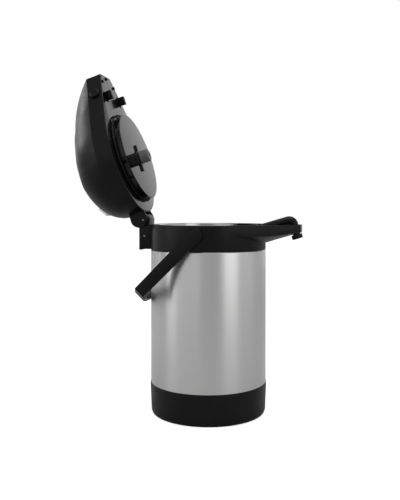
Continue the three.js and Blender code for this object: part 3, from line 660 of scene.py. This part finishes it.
def build_collar():
    """Collar with its nose, trough and bores, and the bright ring in its mouth."""
    body = grid("collar", [collar_row(x, y) for x, y in teardrop(NOSE_TIP)], ring=True)
    inner = teardrop(NOSE_TIP, WALL)
    front = [p for p in inner if math.hypot(*p) > BODY_R - WALL + 0.02]
    front.sort(key=lambda p: math.atan2(p[1], p[0]))
    cut(body, grid("trough", [trough_row(x, y) for x, y in front], loop=True, ends=True))
    bore = rounded([
        (0, 219), (77.3, 219), (77.3, 229.5), (65.3, 229.5), (65.3, 232), (67.3, 232), (67.3, 256.5),
        (69.1, 256.5), (69.1, RIM - 0.3), (69.4, RIM), (69.4, RIM + 1), (0, RIM + 1),
    ], 0, 1, closed=False)
    cut(body, lathe("bore", bore, segments=192, closed=False))
    cut(body, brick("passage", (60, -12.5, 236.2), (81, 12.5, RIM + 1), 0.3))
    slot = box_outline((91, -9), (NOSE_TIP - 0.7, 9), 3)
    cut(body, prism("slot", slot, 231, 252, 0))
    hollow = lathe("hollow", [(70, 229), (77.3, 229), (77.3, 254.5), (70, 254.5)], segments=192)
    cut(body, common(hollow, brick("behind", (-90, -90, 228), (28, 90, 256), 0)))
    for side, _ in SIDES:
        ledge = [(83, 31.9), (97, 31.9), (97, side_at(97, 1)), (83, side_at(83, 1))]
        outline = [(x, side * y) for x, y in ledge]
        join(body, prism("ledge", rounded(outline, 0.4), 249.5, 252, 0.3))
        span = sorted((side * 72, side * 82))
        cut(body, rod("pivot_bore", 3.8, span[0], span[1], (HANDLE.x, HANDLE.z), "Y", 0))
    show(body, "collar", "black_plastic", "pot")

    ring = rounded([
        (63.7, 235.3), (67, 235.3), (67, 256.8, 0.3), (68.8, 256.8, 0.2), (68.8, RIM, 0.3), (66.2, RIM, 0.6),
        (66.2, 236.1, 0.6), (63.7, 236.1),
    ], 0.2)
    ring = lathe("ring", ring, segments=224)
    fan = [(0, 0)] + arc(90, -FLARE, FLARE, 12)
    cut(ring, prism("fan", fan, 249, RIM + 1, 0), brick("notch", (55, -12.7, 236.15), (70, 12.7, RIM + 1), 0))
    # The ring takes the darker copy of polished steel: painted shade, not a different metal.
    show(ring, "mouth_ring", "polished_steel", "pot", finish="shaded_ring_steel")


# ---------------------------------------------------------------- hinge and release lever
def ear_sweep():
    """Outline of all that an ear passes over as the lid opens."""
    away = math.hypot(*EAR_OFFSET)
    half = math.radians(-LID_ANGLE) / 2
    middle = math.atan2(EAR_OFFSET[1], EAR_OFFSET[0]) + half
    room = EAR_R + 0.5
    outline = []
    for t in spaced(0, 2 * math.pi, 72)[:-1]:
        centre = middle + min(max(math.remainder(t - middle, 2 * math.pi), -half), half)
        x = HINGE.x + away * math.cos(centre) + room * math.cos(t)
        z = HINGE.z + away * math.sin(centre) + room * math.sin(t)
        outline.append((x, z))
    return outline


def build_hinge():
    """Hinge block, pins, screws, and the release lever with its spring."""
    inner, half = EAR_Y
    lug_half = inner - 0.5
    bracket = brick("bracket", (-96, -half, 222.6), (-78, half, 255), 0.7, "Y", 0.9)
    cut(bracket, brick("pocket", (-100, -inner, 220), (-84, inner, 247.5), 0, "Y", 1.5))
    top = arc(8.2, 0, math.pi, 24, (HINGE.x, HINGE.z))
    lug = rounded([(-98.4, 254.6, 0.5), (-97, 250, 0.5), (-82, 250, 0), (-82, HINGE.z, 0)], 0.4, 2) + top
    join(bracket, prism("lug", lug, -lug_half, lug_half, 0.6, "Y"))
    for side, _ in SIDES:
        span = sorted((side * (lug_half + 0.15), side * 20))
        cut(bracket, prism("ear_room", ear_sweep(), span[0], span[1], 0, "Y"))
    cut(bracket, rod("pot", BODY_R + 0.3, 200, 257, segments=256, edge=0))
    soften(bracket, 0.35)
    for radius, centre in ((HINGE_PIN_R, HINGE), (RELEASE_PIN_R, RELEASE)):
        cut(bracket, rod("pin_bore", radius + PIN_BORE_ROOM, -20, 20, (centre.x, centre.z), "Y", 0, 32))
    show(bracket, "hinge_block", "black_plastic", "pot")

    for node, centre, radius in (("hinge_pin", HINGE, HINGE_PIN_R), ("release_pin", RELEASE, RELEASE_PIN_R)):
        low, high = corners(node)
        pin = rod(node, radius, low.y, high.y, (centre.x, centre.z), "Y", 0.45, 32)
        show(pin, node, "polished_steel", "pot", finish="pin_steel")
    for node in ("hinge_screw_lower", "hinge_screw_upper"):
        low, high = corners(node)
        middle = (low.z + high.z) / 2
        screw = cross_screw(high.z - middle, 1.6, 0, 2.2, high.x - low.x)
        lay = Matrix.Translation((high.x, 0, middle)) @ Matrix.Rotation(-math.pi / 2, 4, "Y")
        show(screw, node, "polished_steel", "pot", lay)

    lever = rounded([
        (-7.6, 5.2, 0.8), (-4.4, 5.2, 0.8), (-4.4, 3.2, 0.5), (3.2, 3.2, 2.5), (3.2, -3.2, 2.5),
        (-4.4, -3.2, 0.8), (-4.4, -19.6, 0.8), (-9.2, -19.6, 1.2), (-9.2, -17.2, 1.0), (-7.6, -15.6, 1.2),
    ], 0.5)
    lever = prism("lever", lever, -12.8, 12.8, 0.6, "Y")
    cut(lever, rod("pin_bore", RELEASE_PIN_R + PIN_BORE_ROOM, -20, 20, axis="Y", edge=0, segments=32))
    cut(lever, rod("seat", 3.9, -3.5, 5, (0, -2.8), "X", 0))
    show(lever, "release_lever", "black_plastic", "release", AT_RELEASE)
    spring = coil(2.3, 0.4, 7.8, 3, 0.4)
    seated = AT_RELEASE @ Matrix.Translation((-4.1, 0, -11)) @ Matrix.Rotation(math.pi / 2, 4, "Y")
    show(spring, "release_spring", "polished_steel", "release", seated)


# ---------------------------------------------------------------- handle
ARM_OUT = 88  # outer face of each arm
ARM_IN = 82.2
ARM_END = 106  # pivot to the ends of the bowed grip
BOW = 22  # how far the grip bows out beyond them
GRIP_THICK = 6.5
HANDLE_PIVOT_R = 8.85
ARM_HALF = 7.6  # half the arm's width at the grip


def build_handle():
    """Bail handle, and the pin and washer at each of its ends."""
    half = ARM_OUT - 4
    bow_r = (half ** 2 + BOW ** 2) / (2 * BOW)
    centre = ARM_END + BOW - bow_r
    grip_r = bow_r - GRIP_THICK
    spread = math.asin(half / bow_r)
    inner_spread = math.asin(79 / grip_r)
    outside = arc(bow_r, -spread, spread, 56, (centre, 0))
    inside = arc(grip_r, inner_spread, -inner_spread, 48, (centre, 0))
    start = -10
    elbow = [(ARM_END - 30, -ARM_OUT), (ARM_END, -ARM_OUT, 5), outside[1]]
    plan = [(start, -ARM_OUT)] + rounded(elbow, 0, 8, closed=False)[:-1]
    mirror = [(x, -y) for x, y in reversed(plan)]
    arm_inner = [(start, ARM_IN), (ARM_END - 9, ARM_IN)]
    outline = plan + outside[2:-2] + mirror + arm_inner + inside
    outline += [(x, -y) for x, y in reversed(arm_inner)]
    bail = prism("bail", outline, -12, 12, 0)
    end = ARM_END + BOW + 2
    side = arc(HANDLE_PIVOT_R, math.pi / 2, 1.5 * math.pi, 36) + [(end, -ARM_HALF), (end, ARM_HALF)]
    common(bail, prism("side", side, -100, 100, 0, "Y"))
    soften(bail, 0.55, 3, 28)
    for sign, _ in SIDES:
        span = sorted((sign * 80, sign * 86))
        cut(bail, rod("bore", 4, span[0], span[1], (0, 0), "Y", 0))
    show(bail, "handle", "black_plastic", "handle_bail", HANGING)

    for sign, label in SIDES:
        to_side = Matrix.Rotation(-sign * math.pi / 2, 4, "X")
        seated = Matrix.Translation((HANDLE.x, 0, HANDLE.z)) @ to_side
        pin = lathe("pin", rounded([
            (0, 73.6), (6.5, 73.6), (6.5, 75.9), (3.5, 75.9), (3.5, 85.6), (0, 85.6),
        ], 0.4, closed=False), segments=64, closed=False)
        show(pin, f"handle_pin_{label}", "polished_steel", "pot", seated)
        washer = lathe("washer", rounded([(3.8, 80.3), (8, 80.3), (8, 81.9), (3.8, 81.9)], 0.4), segments=64)
        show(washer, f"handle_washer_{label}", "clear_silicone", "pot", seated)


# ---------------------------------------------------------------- coffee path
def build_coffee_path():
    """Dip tube and foot, stem head, spout pipe and nozzle cap."""
    duct = 240
    head = rod("head", 8.2, 222, 243.2, (TUBE_X, 0), edge=0.8, segments=72)
    join(head, brick("neck", (48, -8.2, 236.5), (67, 8.2, 243.2), 0.5, "X"))
    join(head, brick("flange", (50, -20, 236.5), (62, 20, 239.4), 0.6, radius=4))
    join(head, brick("yoke", (66.4, -11.9, 238.2), (79.6, 11.9, 256.6), 0.6, "Y", 1.5))
    cut(head, brick("fork", (64, -8.4, 243.6), (81, 8.4, 258), 0, "X", 1.0))
    cut(head, rod("seat", 5.8, 221, 236, (TUBE_X, 0), edge=0))
    cut(head, rod("riser", 2.6, 235, duct, (TUBE_X, 0), edge=0))
    cut(head, rod("duct", 2.6, TUBE_X, SPOUT.x, (0, duct), "X", 0))
    cut(head, rod("outlet", 2.6, duct, 244, (SPOUT.x, 0), edge=0))
    cut(head, rod("pivot", 2.7, -13, 13, (SPOUT.x, SPOUT.z), "Y", 0))
    show(head, "stem_head", "black_plastic", "pot")
    tube = rounded([(5.5, 62), (5.5, 235.6), (4.3, 235.6), (4.3, 62)], 0.3)
    show(lathe("tube", tube, (TUBE_X, 0), 64), "dip_tube", "clear_silicone", "pot")
    foot = rounded([(7, 54), (7, 70), (5.8, 70), (5.8, 61.5), (4.3, 61.5), (4.3, 54)], 0.3)
    foot = lathe("foot", foot, (TUBE_X, 0), 64)
    cut(foot, brick("notch", (TUBE_X - 9, -1.5, 53), (TUBE_X + 9, 1.5, 57), 0, "X"))
    cut(foot, brick("notch", (TUBE_X - 1.5, -9, 53), (TUBE_X + 1.5, 9, 57), 0, "Y"))
    show(foot, "tube_foot", "clear_silicone", "pot")

    pipe_r = 6.5
    bend = 6.0
    down_r = 5.0
    path = [(2, 0, 0), (3.2, 0, 0), (20, 0, 0), (PIPE_REACH - bend - 2, 0, 0)]
    sizes = [pipe_r - 0.8, pipe_r, pipe_r, pipe_r]
    for t in spaced(0, math.pi / 2, 12):
        path.append((PIPE_REACH - bend + bend * math.sin(t), 0, -bend + bend * math.cos(t)))
        sizes.append(pipe_r)
    for depth, size in ((8.0, pipe_r - 0.2), (9.0, down_r + 0.4), (9.6, down_r), (PIPE_DROP, down_r)):
        path.append((PIPE_REACH, 0, -depth))
        sizes.append(size)
    pipe = sweep("pipe", path, sizes, 48)
    join(pipe, rod("barrel", 6.2, -8.1, 8.1, (0, 0), "Y", 0.5))
    join(pipe, rod("trunnion", 2.4, -11.2, 11.2, (0, 0), "Y", 0.4))
    cut(pipe, rod("bore", 3.4, -PIPE_DROP - 1, -4, (PIPE_REACH, 0), edge=0))
    cut(pipe, rod("inlet", 2.8, -8, -2, edge=0))
    show(pipe, "spout_pipe", "black_plastic", "spout", RAISED)
    cap = rounded([
        (5.3, 2.2), (7, 2.2, 0.5), (7.5, 1.4), (7.5, -2.7, 0.8), (6.9, -3.8, 0.6), (4.4, -3.8, 0.5),
        (4, -2.8), (4, -0.3), (5.3, -0.3),
    ], 0.3)
    at_end = RAISED @ Matrix.Translation((PIPE_REACH, 0, -PIPE_DROP))
    show(lathe("cap", cap, segments=96), "nozzle_cap", "black_plastic", "spout", at_end)


# ---------------------------------------------------------------- lid
def crease_angle(off):
    """How far the dome leans in where it meets the band, at so many degrees off the nose."""
    start, end = CREASE_END
    along = CREASE * min(max((end - off) / (end - start), 0), 1)
    tip = (TIP_CREASE - CREASE) * max(1 - off / TIP_SPREAD, 0)
    return math.radians(along + tip)


def lid_rows(inward, bottom, steps, edge):
    """Rows of the filled lid: an upright band under a dome, which runs straighter to the nose."""
    band_top = LID_BOTTOM + BAND_HEIGHT
    rows = []
    for (x, y), (full_x, full_y) in zip(teardrop(LID_TIP, inward), teardrop(LID_TIP)):
        reach = math.hypot(x, y)
        c, s = x / reach, y / reach
        crease = crease_angle(abs(math.degrees(math.atan2(full_y, full_x))))
        bend = 2 / DOME_POWER
        start = math.sin(crease) ** bend
        profile = [(0, band_top + DOME_HEIGHT - inward, 0)]
        for t in spaced(math.pi / 2, crease, steps)[1:]:
            rise = (DOME_HEIGHT - inward) * (math.sin(t) ** bend - start) / (1 - start)
            profile.append((reach * (math.cos(t) / math.cos(crease)) ** bend, band_top + rise, 0))
        for z in spaced(band_top, bottom, 4)[1:-1]:
            profile.append((reach, z, 0))
        profile += [(reach, bottom, edge), (0, bottom, 0)]
        rows.append([(r * c, r * s, z) for r, z in rounded(profile, 0, 3, closed=False)])
    return rows


def latch_seat(side):
    """From a body drawn along Z to the place of a latch button, square to the nose's side wall."""
    out = Vector((math.cos(FLARE), side * math.sin(FLARE), 0))
    turn = out.to_track_quat("Z", "Y").to_matrix().to_4x4()
    return Matrix.Translation((LATCH[0], side * LATCH[1], LATCH[2])) @ turn


def build_lid_shell():
    """Domed shell with its hinge ears, screw bosses and button well."""
    shell = grid("lid", lid_rows(0, LID_BOTTOM, 30, 0.8), ring=True)
    cut(shell, grid("hollow", lid_rows(WALL, LID_BOTTOM - 1, 16, 0), ring=True))
    for x, y in SCREWS:
        boss = rod("boss", 3.6, LID_BOTTOM + 3.1, RIM + 60, (x, y), edge=0)
        common(boss, grid("room", lid_rows(1, LID_BOTTOM, 12, 0), ring=True))
        join(shell, boss)
        cut(shell, rod("screw_hole", 1.5, RIM, RIM + 12, (x, y), edge=0, segments=24))
    cut(shell, rod("well", BUTTON_R + 0.6, BUTTON_Z - 20, BUTTON_Z + 10, edge=0, segments=128))
    cut(shell, prism("rebate", teardrop(LID_TIP, 1.1), LID_BOTTOM - 1, LID_BOTTOM + 2.7, 0))
    for side, _ in SIDES:
        span = sorted((side * EAR_Y[0], side * EAR_Y[1]))
        ear = rod("ear", EAR_R, span[0], span[1], EAR, "Y", 0.6, 72)
        web_top = EAR[1] + EAR_R - 0.1
        web = [(-89, LID_BOTTOM), (-78.9, LID_BOTTOM), (-78.9, web_top), (-89, web_top)]
        join(ear, prism("web", rounded(web, 0.3), span[0], span[1], 0.6, "Y"))
        cut(ear, rod("inside", BODY_R - WALL, LID_BOTTOM - 1, LID_BOTTOM + 40, edge=0, segments=200))
        join(shell, ear)
        cut(shell, place(rod("button_hole", 7.9, -12, 12, edge=0), latch_seat(side)))
    cut(shell, rod("pin_bore", HINGE_PIN_R + PIN_BORE_ROOM, -20, 20, (HINGE.x, HINGE.z), "Y", 0, 32))
    show(shell, "lid_shell", "black_plastic", "lid", OPENED, crease=13)


def build_lid_underside():
    """Flat plate under the shell, and its screws."""
    plate = prism("plate", teardrop(LID_TIP, 1.4), LID_BOTTOM, LID_BOTTOM + 2.4, 0.4)
    cut(plate, rod("opening", 57, RIM, RIM + 5, edge=0, segments=128))
    for x, y in SCREWS:
        cut(plate, rod("screw_hole", 1.6, RIM, RIM + 5, (x, y), edge=0, segments=24))
    for side, _ in SIDES:
        span = sorted((side * 20, side * 32.7))
        cut(plate, brick("latch_slot", (HOOK_X[0] - 2, span[0], RIM), (HOOK_X[1] + 1, span[1], RIM + 5), 0))
        span = sorted((side * 11, side * 14.6))
        join(plate, brick("spring_wall", (86, span[0], LID_BOTTOM + 1), (94, span[1], RIM + 16), 0.3))
    show(plate, "lid_plate", "gloss_black", "lid", OPENED)
    for i, (x, y) in enumerate(SCREWS):
        screw = cross_screw(2.3, 1.2, LID_BOTTOM - 1.8, LID_BOTTOM - 0.3, RIM + 10)
        show(screw, f"plate_screw_{i + 1}", "black_plastic", "lid", OPENED @ Matrix.Translation((x, y, 0)))


DISC_R = 63
DISC_GROOVE_R = 62.2  # between the pads
DISC_FRONT_R = 59.9  # where the wall is set back, towards the nose
DISC_FRONT = 52  # degrees off the nose where that ends
DISC_PADS = ((54, 100), (102, 121), (123, 166))  # bayonet pads, in degrees off the nose


def disc_edge(angle):
    """Radius of the disc's wall in one direction."""
    turn = abs(math.degrees(math.remainder(angle, 2 * math.pi)))
    if turn < DISC_FRONT:
        return DISC_FRONT_R
    on_pad = any(start < turn < end for start, end in DISC_PADS)
    return DISC_R if on_pad else DISC_GROOVE_R


def disc_row(angle):
    """Section of the lid's disc in one direction."""
    wall = disc_edge(angle)
    profile = [
        (0, DISC_LOW, 0), (62.2, DISC_LOW, 0.8), (DISC_R, DISC_LOW + 0.6, 0.6), (DISC_R, DISC_LOW + 1.8, 0.3),
        (wall, DISC_LOW + 1.8, 0.2), (wall, 0.1, 0.3), (59.2, 0.1, 0.2), (59.2, DISC_LOW + 3.6, 0.3),
        (58.8, DISC_LOW + 3, 0.2), (0, DISC_LOW + 3, 0),
    ]
    c, s = math.cos(angle), math.sin(angle)
    return [(r * c, r * s, RIM + z) for r, z in rounded(profile, 0.3, 3, closed=False)]


def build_disc():
    """Disc that plugs the mouth, with a step in its wall at each pad's end, and its lip gasket."""
    turns = []
    for edge in (0, DISC_FRONT, *(edge for pad in DISC_PADS for edge in pad), 180):
        turns += [edge - 0.25, edge + 0.25]
    even = [t for t in range(-180, 180, 2) if all(abs(abs(t) - edge) > 0.6 for edge in turns)]
    stepped = [t for t in turns if t < 180]
    angles = sorted(set(even + stepped + [-t for t in stepped]))
    rows = [disc_row(math.radians(t)) for t in angles]
    disc = grid("disc", rows, ring=True)
    cut(disc, rod("air_hole", 5, RIM - 14, RIM - 8, VALVE, edge=0))
    cut(disc, rod("vent", 4, RIM - 14, RIM - 8, edge=0))
    show(disc, "lid_disc", "gloss_black", "lid", OPENED)
    lip = rounded([(63.3, -3.4), (64.9, -3.4), (65.6, -2), (64.9, -0.6), (63.3, -0.6)], 0.5)
    lip = lathe("lip", [(r, RIM + z) for r, z in lip], segments=192)
    show(lip, "disc_gasket", "black_rubber", "lid", OPENED)


def build_valve():
    """Air valve under the disc: body, soft tip and winged ring."""
    to_valve = OPENED @ Matrix.Translation((*VALVE, RIM))
    body = rounded([
        (2, -34), (4.5, -34), (4.5, -27.3), (6, -27.3), (6, -21.7), (9, -21.7, 0.6), (9, -12.3), (4.7, -12.3),
        (4.7, -8.6), (6.2, -8.6), (6.2, -6.8), (2, -6.8),
    ], 0.3)
    show(lathe("body", body, segments=96), "valve_body", "black_plastic", "lid", to_valve)
    tip = rounded([
        (4.8, -27.7), (8, -27.7), (8.6, -28.5), (8.6, -39, 1.2), (7.6, -40, 0.8), (2.8, -40, 0.6),
        (2.8, -34.3), (4.8, -34.3),
    ], 0.4)
    show(lathe("tip", tip, segments=96), "valve_tip", "grey_rubber", "lid", to_valve)
    ring = lathe("ring", rounded([(6.3, -27), (10.5, -27), (10.5, -22), (6.3, -22)], 0.7), segments=96)
    for sign in (-1, 1):
        blade = [(8, -2.6), (13, -2.6), (18.5, -1.8), (18.5, 2.6), (8, 2.6)]
        blade = rounded([(sign * x, sign * y) for x, y in blade], 1.0)
        join(ring, prism("blade", blade, -26.8, -22.2, 0.6))
    show(ring, "valve_ring", "black_plastic", "valve_collar", to_valve)


BELLOWS_FOLDS = 5
BELLOWS_R = (19, 26)  # outside, in its valleys and on its folds
BELLOWS_WALL = 1.8


def build_pump():
    """Pump button, its guide, the bellows and the return spring."""
    at_rim = OPENED @ Matrix.Translation((0, 0, RIM))
    at_button = OPENED @ Matrix.Translation((0, 0, BUTTON_Z))
    button = [
        (0, -0.8), (13, -0.8, 4), (15, -0.4, 1), (17, -0.5, 1), (18, -1.1, 0.5), (19, -0.8, 0.5),
        (24, -1.9, 4), (29.6, -3.8, 2), (BUTTON_R, -5.8, 1.5), (BUTTON_R, -19.8), (28.4, -19.8),
        (28.4, -7.2, 1.5), (22, -5.2), (0, -3.4),
    ]
    button = lathe("button", rounded(button, 0.4, closed=False), segments=128, closed=False)
    show(button, "pump_button", "black_plastic", "pump", at_button)
    guide = rounded([(31.1, -39.8), (33.2, -39.8), (33.2, -10.4), (31.1, -10.4)], 0.4)
    show(lathe("guide", guide, segments=96), "button_guide", "black_plastic", "lid", at_button)
    low, high = corners("bellows", SHUT)
    valley, fold = BELLOWS_R
    floor = low.z - RIM
    pitch = (high.z - low.z) / BELLOWS_FOLDS
    outside = []
    for i in range(BELLOWS_FOLDS):
        outside += [(valley, floor + i * pitch, 1), (fold, floor + (i + 0.5) * pitch, 2)]
    outside.append((valley, high.z - RIM, 0.5))
    inside = [(r - BELLOWS_WALL, z, *rest) for r, z, *rest in reversed(outside)]
    bellows = lathe("bellows", rounded(outside + inside, 0.5), segments=96)
    show(bellows, "bellows", "black_rubber", "lid", at_rim)
    low, high = corners("bellows_spring", SHUT)
    spring = coil(13.5, low.z + 1 - RIM, high.z - 1 - RIM, 5, 1, 14, 36)
    show(spring, "bellows_spring", "polished_steel", "lid", at_rim)


def build_lock():
    """Ribbed pump lock that slides round the dome's rear."""
    long, wide = LOCK_HALF
    slider = brick("slider", (-long, -wide, -8), (long, wide, LOCK_RISE), 0.6, "Y", 1.0)
    for x in (-4, 0, 4):
        low, high = (x - 0.8, -wide - 1, LOCK_RISE - 1.1), (x + 0.8, wide + 1, 6)
        cut(slider, brick("groove", low, high, 0, "Y", 0.3))
    rise = DOME_HEIGHT * (1 - (LOCK_R / BODY_R) ** DOME_POWER) ** (1 / DOME_POWER)
    lift = Matrix.Translation((-LOCK_R, 0, LID_BOTTOM + BAND_HEIGHT + rise))
    place(slider, lift @ Matrix.Rotation(-LOCK_SLOPE, 4, "Y"))
    cut(slider, grid("dome", lid_rows(-0.45, LID_BOTTOM, 30, 0), ring=True))
    show(slider, "lock_slider", "polished_steel", "lock", OPENED)


def build_latches():
    """Round button, hook and spring of each squeeze latch."""
    low_z = RIM - 9.6
    for side, label in SIDES:
        button = lathe("button", rounded([
            (0, -5.6), (8.6, -5.6), (8.6, -3.6), (7.5, -3.6), (7.5, 3.2, 0.7), (6.4, 3.2, 0.5), (5.6, 2.7, 1),
            (0, 2.5),
        ], 0.3, closed=False), segments=96, closed=False)
        show(button, f"latch_button_{label}", "black_plastic", f"latch_{label}", OPENED @ latch_seat(side))
        hook = [
            (24, low_z, 0.6), (30.2, low_z, 0.8), (31.4, low_z + 1.5, 0.4), (27.6, low_z + 1.5, 0.6),
            (27.6, RIM + 16.5), (24, RIM + 16.5),
        ]
        outline = rounded([(side * y, z, *rest) for y, z, *rest in hook], 0.4)
        body = prism("hook", outline, *HOOK_X, 0.4, "X")
        span = sorted((side * 26, side * 31.6))
        join(body, brick("foot", (87, span[0], RIM + 8), (93.5, span[1], RIM + 15), 0.3, "X"))
        show(body, f"latch_hook_{label}", "black_plastic", f"latch_{label}", OPENED)
        low, high = corners(f"latch_spring_{label}", SHUT)
        span = (abs(low.y), abs(high.y))
        spring = coil(2.4, min(span) + 0.4, max(span) - 0.4, 3, 0.4)
        centre = Matrix.Translation(((low.x + high.x) / 2, 0, (low.z + high.z) / 2))
        lay = centre @ Matrix.Rotation(-side * math.pi / 2, 4, "X")
        show(spring, f"latch_spring_{label}", "polished_steel", "lid", OPENED @ lay)


# ---------------------------------------------------------------- studio
CAMERA_YAW = math.radians(11.3)  # round towards the nose
CAMERA_AWAY = 0.9153  # metres from the pot's axis
CAMERA_HEIGHT = 0.2841
LENS = 47.0
LENS_SHIFT = (-0.0168, -0.086)
FLOOR_HALF = 6
CEILING = 0.32  # brightness of the world overhead
# Brightness of the world's walls, by degrees round to the right of the camera.
STUDIO_WALLS = (
    (-180, 1.0), (-142, 0.92), (-126, 0.60), (-98, 0.52), (-86, 0.92), (-36, 0.94), (-34.5, 0.50),
    (-33, 0.94), (-18, 0.92), (-15, 0.52), (22, 0.40), (26, 0.94), (46, 0.92), (76, 0.90), (88, 1.0),
    (106, 0.74), (132, 0.70), (144, 1.0), (180, 1.0),
)
# Area lights: name, place and size in metres, and power in watts.
SOFTBOXES = (
    ("overhead", (0.1, -0.2, 1.9), (1.3, 1.3), 18),
    ("behind_left", (-1.5, 0.5, 0.85), (0.5, 0.5), 3),
    ("right", (1.5, -1.0, 0.7), (0.9, 1.4), 3.2),
    ("left", (-1.5, -0.7, 0.8), (0.7, 1.4), 3.5),
)


def build_camera():
    """Level camera at the nose's side of square on."""
    data = bpy.data.cameras.new("camera")
    data.lens = LENS
    data.shift_x, data.shift_y = LENS_SHIFT
    camera = bpy.data.objects.new("camera", data)
    bpy.context.scene.collection.objects.link(camera)
    across, along = CAMERA_AWAY * math.sin(CAMERA_YAW), CAMERA_AWAY * math.cos(CAMERA_YAW)
    camera.location = (across, -along, CAMERA_HEIGHT)
    camera.rotation_euler = (math.pi / 2, 0, CAMERA_YAW)
    bpy.context.scene.camera = camera


def softbox(name, place_at, size, power):
    """Area light that faces the pot's middle."""
    data = bpy.data.lights.new(name, "AREA")
    data.shape = "RECTANGLE"
    data.size, data.size_y = size
    data.energy = power
    light = bpy.data.objects.new(name, data)
    bpy.context.scene.collection.objects.link(light)
    light.location = place_at
    light.rotation_euler = (Vector((0, 0, 0.2)) - Vector(place_at)).to_track_quat("-Z", "Y").to_euler()


def build_floor():
    """Pale paper floor, which the camera sees as white."""
    level = cad_bounds[0].z
    rows = [[(x, y, level) for x in (-FLOOR_HALF, FLOOR_HALF)] for y in (-FLOOR_HALF, FLOOR_HALF)]
    floor = grid("floor", rows)
    paper, tree, shader, where = new_finish("paper", Roughness=0.8)
    tone = mixed(tree, remap(tree, noise(tree, where, 3), 0, 1), grey(0.52), grey(0.56))
    tree.links.new(tone, shader.inputs["Base Color"])
    seen = add_node(tree, "ShaderNodeLightPath").outputs["Is Camera Ray"]
    shader.inputs["Emission Color"].default_value = grey(1.0)
    lift = worked(tree, "MULTIPLY", seen, 0.8)
    tree.links.new(lift, shader.inputs["Emission Strength"])
    floor.data.materials.append(paper)


def build_world():
    """Banded walls and a dimmer ceiling for the reflections, white where the camera sees them."""
    world = bpy.data.worlds.new("studio")
    world.use_nodes = True
    bpy.context.scene.world = world
    tree = world.node_tree
    back = tree.nodes["Background"]
    where = add_node(tree, "ShaderNodeTexCoord").outputs["Generated"]
    turn = add_node(tree, "ShaderNodeVectorRotate", {"rotation_type": "Z_AXIS"}, Vector=where)
    turn.inputs["Angle"].default_value = math.pi / 2 - CAMERA_YAW
    x, y, _ = add_node(tree, "ShaderNodeSeparateXYZ", Vector=turn.outputs[0]).outputs
    azimuth = worked(tree, "ARCTAN2", y, x)
    ramp = add_node(tree, "ShaderNodeValToRGB", Fac=remap(tree, azimuth, 0, 1, -math.pi, math.pi))
    elements = ramp.color_ramp.elements
    while len(elements) < len(STUDIO_WALLS):
        elements.new(0.5)
    for element, (degrees, level) in zip(elements, STUDIO_WALLS):
        element.position = 0.5 + degrees / 360
        element.color = grey(level)
    seen = add_node(tree, "ShaderNodeLightPath").outputs["Is Camera Ray"]
    height = add_node(tree, "ShaderNodeSeparateXYZ", Vector=where).outputs[2]
    walls = mixed(tree, remap(tree, height, 0, 1, 0.35, 0.75), ramp.outputs["Color"], grey(CEILING))
    tree.links.new(mixed(tree, seen, walls, grey(1.0)), back.inputs["Color"])


build_camera()
build_base()
build_flask()
build_collar()
build_hinge()
build_handle()
build_coffee_path()
build_lid_shell()
build_lid_underside()
build_disc()
build_valve()
build_pump()
build_lock()
build_latches()
build_floor()
for settings in SOFTBOXES:
    softbox(*settings)
build_world()
bpy.context.scene.view_settings.view_transform = "Standard"
